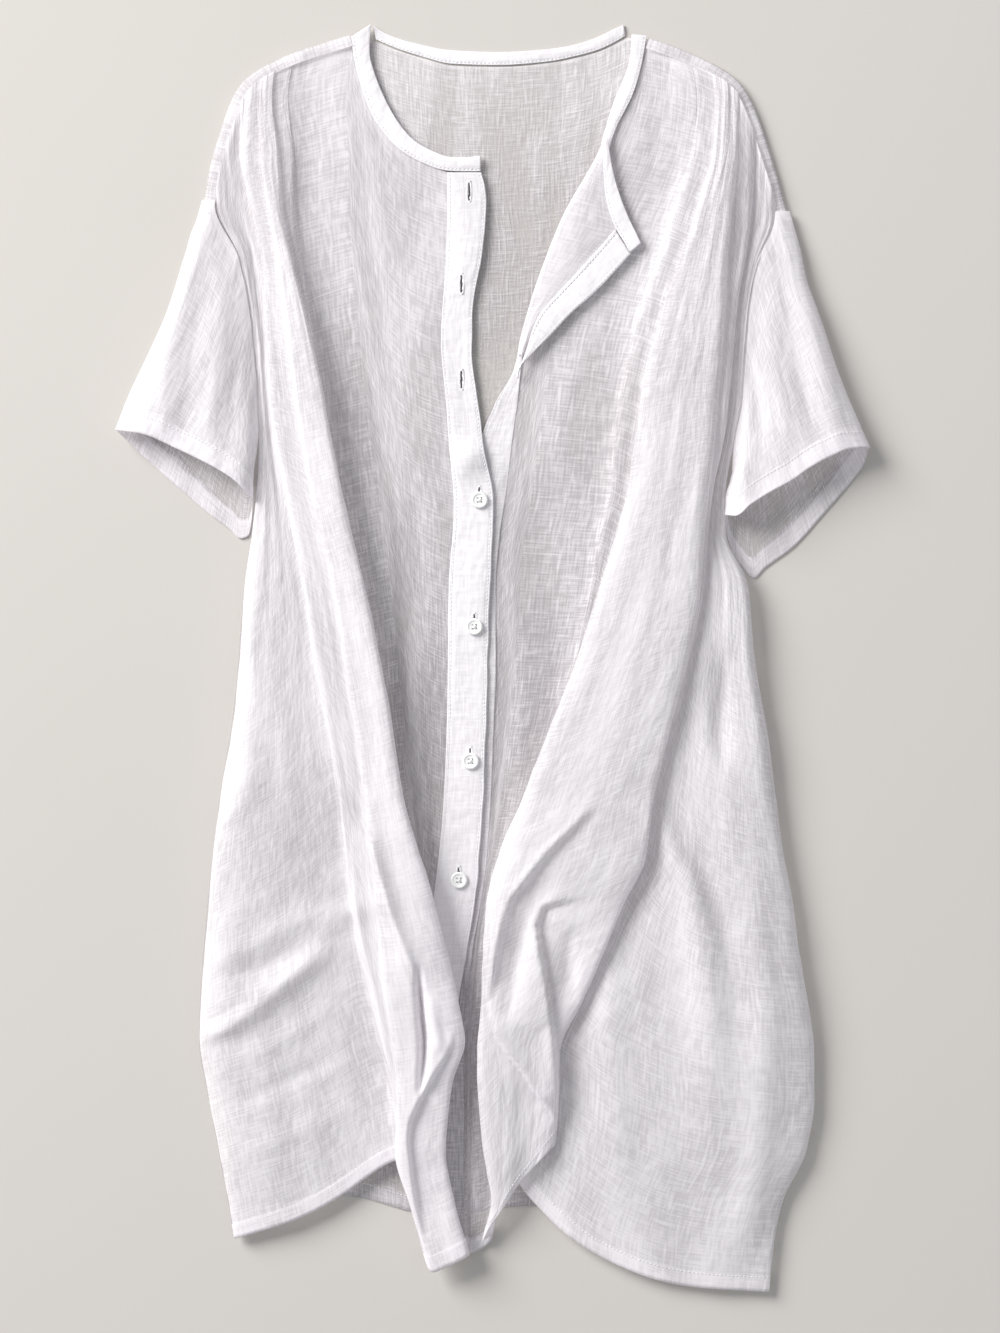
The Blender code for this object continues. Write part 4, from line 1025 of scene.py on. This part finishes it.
def make_sleeve(name, gauze):
    """A flattened tube from the armhole to the open mouth, with its hem turned in."""
    plan, sections, sign, creases, seed = SLEEVES[name]
    table = np.asarray(sections, float)
    y = np.linspace(plan["start"][1], UNDERARM, 40)
    side = smooth_curve(table[:, 0], table[:, SECTION_COLUMNS.index("side")], y)
    ring = np.concatenate([[plan["start"]], np.column_stack([side + sign * ARMHOLE_GAP, y])])
    reach = reach_along(ring)
    even = np.linspace(0, 1, SLEEVE_COLUMNS)
    u = 0.6 * even + 0.4 * (1 - np.cos(math.pi * even)) / 2
    ring = np.column_stack([np.interp(u * reach[-1], reach, ring[:, k]) for k in (0, 1)])
    edge_in = [tuple(ring[-1]), *plan["in"]]
    near = np.clip(np.minimum(u, 1 - u) / EDGE_SHARE, 0, 1)
    crown = np.sqrt(1 - (1 - near) ** 2)
    heights = np.array(SLEEVE_HEIGHTS)
    rows = []
    for v in np.linspace(0, 1, SLEEVE_ROWS):
        top, middle = (smooth_curve(heights[:, 0], heights[:, k], v) for k in (1, 2))
        front, back = (patch(ring, plan[lip], plan["out"], edge_in, v, u) for lip in ("front", "back"))
        upper = np.column_stack([front, middle + (top - middle) * crown])
        lower = np.column_stack([back, middle - (middle - BACK_LEVEL) * crown])
        rows.append(np.concatenate([upper, lower[::-1][1:]]))
    rows = np.array(rows)
    is_upper = (np.arange(rows.shape[1]) < SLEEVE_COLUMNS).astype(float)
    if grid_normals(rows)[:, SLEEVE_COLUMNS // 2, 2].mean() < 0:
        rows = rows[:, ::-1]
        is_upper = is_upper[::-1]
    rows = crumple(rows, seed, 1.0, creases, 0.12 + 0.88 * is_upper)
    rows[..., 2] = np.maximum(rows[..., 2], LOWEST_SLEEVE)
    dense = edge_density(rows, (("top", SEAM_ALLOWANCE, 0.3), ("hem", CUFF_DEPTH, 0.7)))
    mesh = bmesh.new()
    # Painted light and shade: the upper layer is painted whiter and denser, the lower layer darker and
    # more open, as painted shade under the upper layer
    add_hemmed(mesh, rows, dense + 0.85 * is_upper - 0.05, CUFF_DEPTH)
    return cloth_piece(name, mesh, gauze, "out"), rows


def groove(t, at, half):
    """How deep a row of stitches pulls a strip in, across its width."""
    return np.exp(-((t - at) / half) ** 2)


def make_strip(name, doubled):
    """A band or stand between two lines, slightly puckered by its stitches."""
    edges, level, count, seed, thick, _ = STRIPS[name]
    first, last = (smooth_line(edge, count) for edge in edges)
    shares = np.linspace(0, 1, STRIP_COLUMNS)
    rows = np.stack([first + (last - first) * t for t in shares], axis=1)
    t, reach = np.meshgrid(shares, reach_along(first))
    crown = 0.35 * np.sin(math.pi * t) - groove(t, 0.14, 0.05) * 0.35
    pucker = 0.16 * soft_noise(reach / 3.2, t * 2, seed) + 0.3 * soft_noise(reach / 14, t, seed + 1)
    rows = np.dstack([rows, level + crown + pucker])
    mesh = bmesh.new()
    add_cloth(mesh, rows, np.ones(t.shape))
    return cloth_piece(name, mesh, doubled, thick=thick), rows


def stand_rows(seam, edges, level, seed, overlap):
    """Rows of points over a stand, from a panel's seam line to the free edge of the stand."""
    seam = seam[::-1]
    edges = np.asarray(edges, float)
    spots = np.linspace(edges[0, 0], edges[-1, 0], int(abs(edges[-1, 0] - edges[0, 0]) / 1.1))
    t, y = np.meshgrid(np.linspace(0, 1, 31), spots)
    first = np.interp(y, seam[:, 1], seam[:, 0]) + overlap
    last = smooth_curve(edges[:, 0], edges[:, 1], y)
    wave = 0.7 * soft_noise(y / 46, t * 1.5, seed)
    pucker = 0.16 * soft_noise(y / 3.4, t * 3, seed + 1)
    edge_wave = 0.5 * soft_noise(y / 17, 0 * y, seed + 2) * t ** 3
    seams = groove(t, 0.93, 0.03) + (groove(t, 0.07, 0.03) if overlap < 0 else 0)
    z = level + wave + pucker + 0.3 * np.sin(math.pi * t) - 0.4 * seams
    return np.stack([first + (last - first) * t + edge_wave, y, z], axis=-1)


def make_hole_stand(seam, doubled):
    """The buttonhole stand, with a real upright slit for each button."""
    rows = stand_rows(seam, LEFT_STAND, HOLE_STAND_LEVEL, 51, overlap=-2.0)
    x, y, lift, spread = STAND_LIFT
    rows[..., 2] += lift * np.exp(-((rows[..., 0] - x) ** 2 + (rows[..., 1] - y) ** 2) / spread ** 2)
    for x, y in SLITS:
        off = rows[..., 0] - x
        share = np.clip(1 - ((rows[..., 1] - y) / (SLIT_LENGTH / 2)) ** 2, 0, 1)
        rows[..., 0] += np.sign(off) * 0.45 * share * np.exp(-np.abs(off) / 1.2)
    mesh = bmesh.new()
    add_cloth(mesh, rows, np.ones(rows.shape[:2]))
    gone = []
    for face in mesh.faces:
        middle = face.calc_center_median() / MM
        off = [(abs(middle.x - SHIFT[0] - x), abs(middle.y - SHIFT[1] - y)) for x, y in SLITS]
        if any(across < SLIT_WIDTH / 2 and down < SLIT_LENGTH / 2 for across, down in off):
            gone.append(face)
    bmesh.ops.delete(mesh, geom=gone, context="FACES")
    return cloth_piece("buttonhole_stand", mesh, doubled, thick=STAND_THICK), rows


def make_button_stand(seam, doubled):
    """The button stand, sheer and painted darker, as painted shade, at its foot and where it shows beside
    the buttonhole stand.
    """
    rows = stand_rows(seam, RIGHT_STAND, BUTTON_STAND_LEVEL, 57, overlap=1.0)
    foot = np.clip((STAND_SHEER_FROM - rows[..., 1]) / 60, 0, 1)
    head = np.clip((rows[..., 1] - STAND_SHEER_ABOVE) / 36, 0, 1)
    mesh = bmesh.new()
    # Painted shade: where the stand is less doubled it is also painted darker
    add_cloth(mesh, rows, np.minimum(1 - 1.2 * foot, STAND_BESIDE + (0.75 - STAND_BESIDE) * head))
    return cloth_piece("button_stand", mesh, doubled, thick=STAND_THICK), rows


def stand_height(rows, x, y):
    """Height of a stand's upper face at a place in plan."""
    distance = (rows[..., 0] - x) ** 2 + (rows[..., 1] - y) ** 2
    return rows[..., 2].flat[int(np.argmin(distance))] + STAND_THICK / 2


def make_buttonhole_stitches(rows, thread):
    """Close stitches across both lips of each slit, with a bar at each end."""
    mesh = bmesh.new()
    for x, y in SLITS:
        z = stand_height(rows, x, y)
        for t in np.linspace(-1, 1, 27):
            level = y + t * SLIT_LENGTH / 2
            for side in (-1, 1):
                start = x + side * (0.35 + 0.45 * (1 - t * t))
                lip = [(start, level, z), (start + side * 1.7, level, z - 0.05)]
                sew(mesh, lip, lift=0.08, pitch=1.69, length=1.7, radius=0.24)
        for end in (-1, 1):
            for k in range(4):
                level = y + end * (SLIT_LENGTH / 2 + 0.3 + 0.35 * k)
                bar = [(x - 2.1, level, z), (x + 2.1, level, z)]
                sew(mesh, bar, lift=0.1, pitch=4.1, length=4.0, radius=0.22)
    return dress(add_piece("buttonhole_stitches", mesh, thread), "linen_doubled", "placket_left")


def lathe(mesh, profile, centre):
    """Turns a closed profile of (radius, height) round an upright axis, in millimetres."""
    points = [(centre[0] + r, centre[1], centre[2] + z) for r, z in profile]
    verts = [mesh.verts.new(np.array(point) * MM) for point in points]
    edges = [mesh.edges.new((a, b)) for a, b in zip(verts, verts[1:])]
    bmesh.ops.spin(
        mesh, geom=verts + edges, cent=(centre[0] * MM, centre[1] * MM, 0), axis=(0, 0, 1),
        angle=2 * math.pi, steps=40, use_merge=True,
    )
    bmesh.ops.remove_doubles(mesh, verts=mesh.verts, dist=MERGE)
    bmesh.ops.recalc_face_normals(mesh, faces=mesh.faces)


def pierce(button, centre):
    """Cuts the four holes through a button."""
    holes = bmesh.new()
    for dx, dy in ((1, 1), (1, -1), (-1, 1), (-1, -1)):
        middle = (dx * HOLE_OFFSET, dy * HOLE_OFFSET, BUTTON_THICK / 2)
        bmesh.ops.create_cone(
            holes, cap_ends=True, segments=16, radius1=HOLE_RADIUS * MM, radius2=HOLE_RADIUS * MM,
            depth=0.008, matrix=Matrix.Translation((Vector(centre) + Vector(middle)) * MM),
        )
    cutter = add_piece("hole_cutter", holes, button.data.materials[0])
    cut = button.modifiers.new("holes", "BOOLEAN")
    cut.object = cutter
    cut.solver = "EXACT"
    graph = bpy.context.evaluated_depsgraph_get()
    graph.update()
    whole = button.data
    pierced = bpy.data.meshes.new_from_object(button.evaluated_get(graph))
    button.modifiers.clear()
    button.data = pierced
    bpy.data.meshes.remove(whole)
    bpy.data.objects.remove(cutter)


def make_button(number, x, y, z, plastic, thread=None):
    """A dished button with a rim. One that shows has a thread, and so four holes and a cross."""
    mesh = bmesh.new()
    centre = (x + SHIFT[0], y + SHIFT[1], z)
    lathe(mesh, BUTTON_PROFILE, centre)
    button = add_piece(f"shirt_button_{number}", mesh, plastic)
    if thread:
        pierce(button, centre)
    button.data.set_sharp_from_angle(angle=math.radians(50))
    dress(button, "button_plastic", f"button_{number}")
    if thread:
        stitches = bmesh.new()
        for slant, over in ((1, 0.0), (-1, 0.12)):
            for shift in (-0.18, 0.18):
                path = [
                    (x + t * HOLE_OFFSET + shift, y + slant * t * HOLE_OFFSET - shift,
                     z + BUTTON_THICK - 0.35 * t ** 4 + over)
                    for t in np.linspace(-1, 1, 9)
                ]
                sew(stitches, path, lift=0, pitch=1.0, length=1.4, radius=0.26)
        cross = add_piece(f"button_thread_{number}", stitches, thread)
        dress(cross, "linen_doubled", f"button_{number}")


def seam_paths(grids):
    """Where each piece of cloth is stitched: its name, and lines of points."""
    paths = {name: [hem_path(grids[name], HEM_DEPTH)] for name in ("left_front", "right_front", "back")}
    paths.update({name: [hem_path(grids[name], CUFF_DEPTH)] for name in SLEEVES})
    strips = {"buttonhole_stand": (STAND_THICK, (0.07, 0.93)), "button_stand": (STAND_THICK, (0.93,))}
    strips.update({name: strip[4:] for name, strip in STRIPS.items()})
    for name, (thick, shares) in strips.items():
        paths[name] = [column_path(grids[name], share, thick) for share in shares]
    level = FLAP_LEVEL + 0.5 + BAND_THICK / 2
    for x, y in BUTTON_TACKS:
        paths["folded_stand"].append([(x - 1.4, y + 1.6, level), (x + 1.2, y - 1.8, level)])
    return paths


# Studio


def light(name, place, size, power, colour):
    """A round soft lamp that points at the middle of the shirt."""
    data = bpy.data.lights.new(name, "AREA")
    data.shape = "DISK"
    data.size = size
    data.energy = power
    data.color = colour
    lamp = bpy.data.objects.new(name, data)
    bpy.context.collection.objects.link(lamp)
    lamp.location = place
    lamp.rotation_euler = (-Vector(place)).to_track_quat("-Z", "Y").to_euler()


def make_studio():
    mesh = bmesh.new()
    bmesh.ops.create_grid(mesh, x_segments=1, y_segments=1, size=4.0)
    add_piece("studio_floor", mesh, studio_floor())
    light("window", (-4.2, 3.1, 3.15), 3.6, 548, (1.0, 0.99, 0.975))
    light("fill", (1.6, -0.6, 2.2), 2.0, 4, (0.97, 0.98, 1.0))
    world = bpy.data.worlds.new("studio")
    world.use_nodes = True
    background = world.node_tree.nodes["Background"]
    background.inputs[0].default_value = (0.95, 0.965, 1.0, 1)
    background.inputs[1].default_value = 0.44
    bpy.context.scene.world = world
    bpy.context.scene.view_settings.view_transform = "Standard"


def make_camera():
    """Straight above the shirt, with the photograph's framing."""
    data = bpy.data.cameras.new("photo_camera")
    camera = bpy.data.objects.new("photo_camera", data)
    bpy.context.collection.objects.link(camera)
    data.sensor_width = 36.0
    data.lens = data.sensor_width * (CAMERA_HEIGHT - CLOTH_HEIGHT) / SEEN_LENGTH
    camera.location = (0.00557, -0.00707, CAMERA_HEIGHT)
    bpy.context.scene.camera = camera


def main():
    gauze = linen("linen_gauze", 0.09, 0.95, 0.0, 0.34)
    doubled = linen("linen_doubled", 0.06, 0.985, 0.5, 0.2)
    thread = sewing_thread()
    plastic = button_plastic()

    made = {"back": make_back(gauze)}
    made.update({name: make_front(name, gauze) for name in FRONTS})
    made.update({name: make_sleeve(name, gauze) for name in SLEEVES})
    made["buttonhole_stand"] = make_hole_stand(made["left_front"][1][:, 0], doubled)
    hole_rows = made["buttonhole_stand"][1]
    hole_stitches = make_buttonhole_stitches(hole_rows, thread)
    made["button_stand"] = make_button_stand(made["right_front"][1][:, 0], doubled)
    made.update({name: make_strip(name, doubled) for name in STRIPS})

    sewn = {"buttonhole_stand": [hole_stitches]}
    for name, paths in seam_paths({name: rows for name, (piece, rows) in made.items()}).items():
        mesh = bmesh.new()
        for path in paths:
            sew(mesh, path)
        title = "stand" if name == "buttonhole_stand" else name
        stitches = dress(add_piece(f"{title}_stitches", mesh, thread), "linen_doubled", CLOTH[name][0])
        sewn[name] = [stitches, *sewn.get(name, [])]

    for number, (x, y) in enumerate(FASTENED, start=1):
        make_button(number, x, y, stand_height(hole_rows, x, y) + 0.1, plastic, thread)
    for number, (x, y, z) in enumerate(HIDDEN_BUTTONS, start=len(FASTENED) + 1):
        make_button(number, x, y, z, plastic)

    make_studio()
    make_camera()


main()
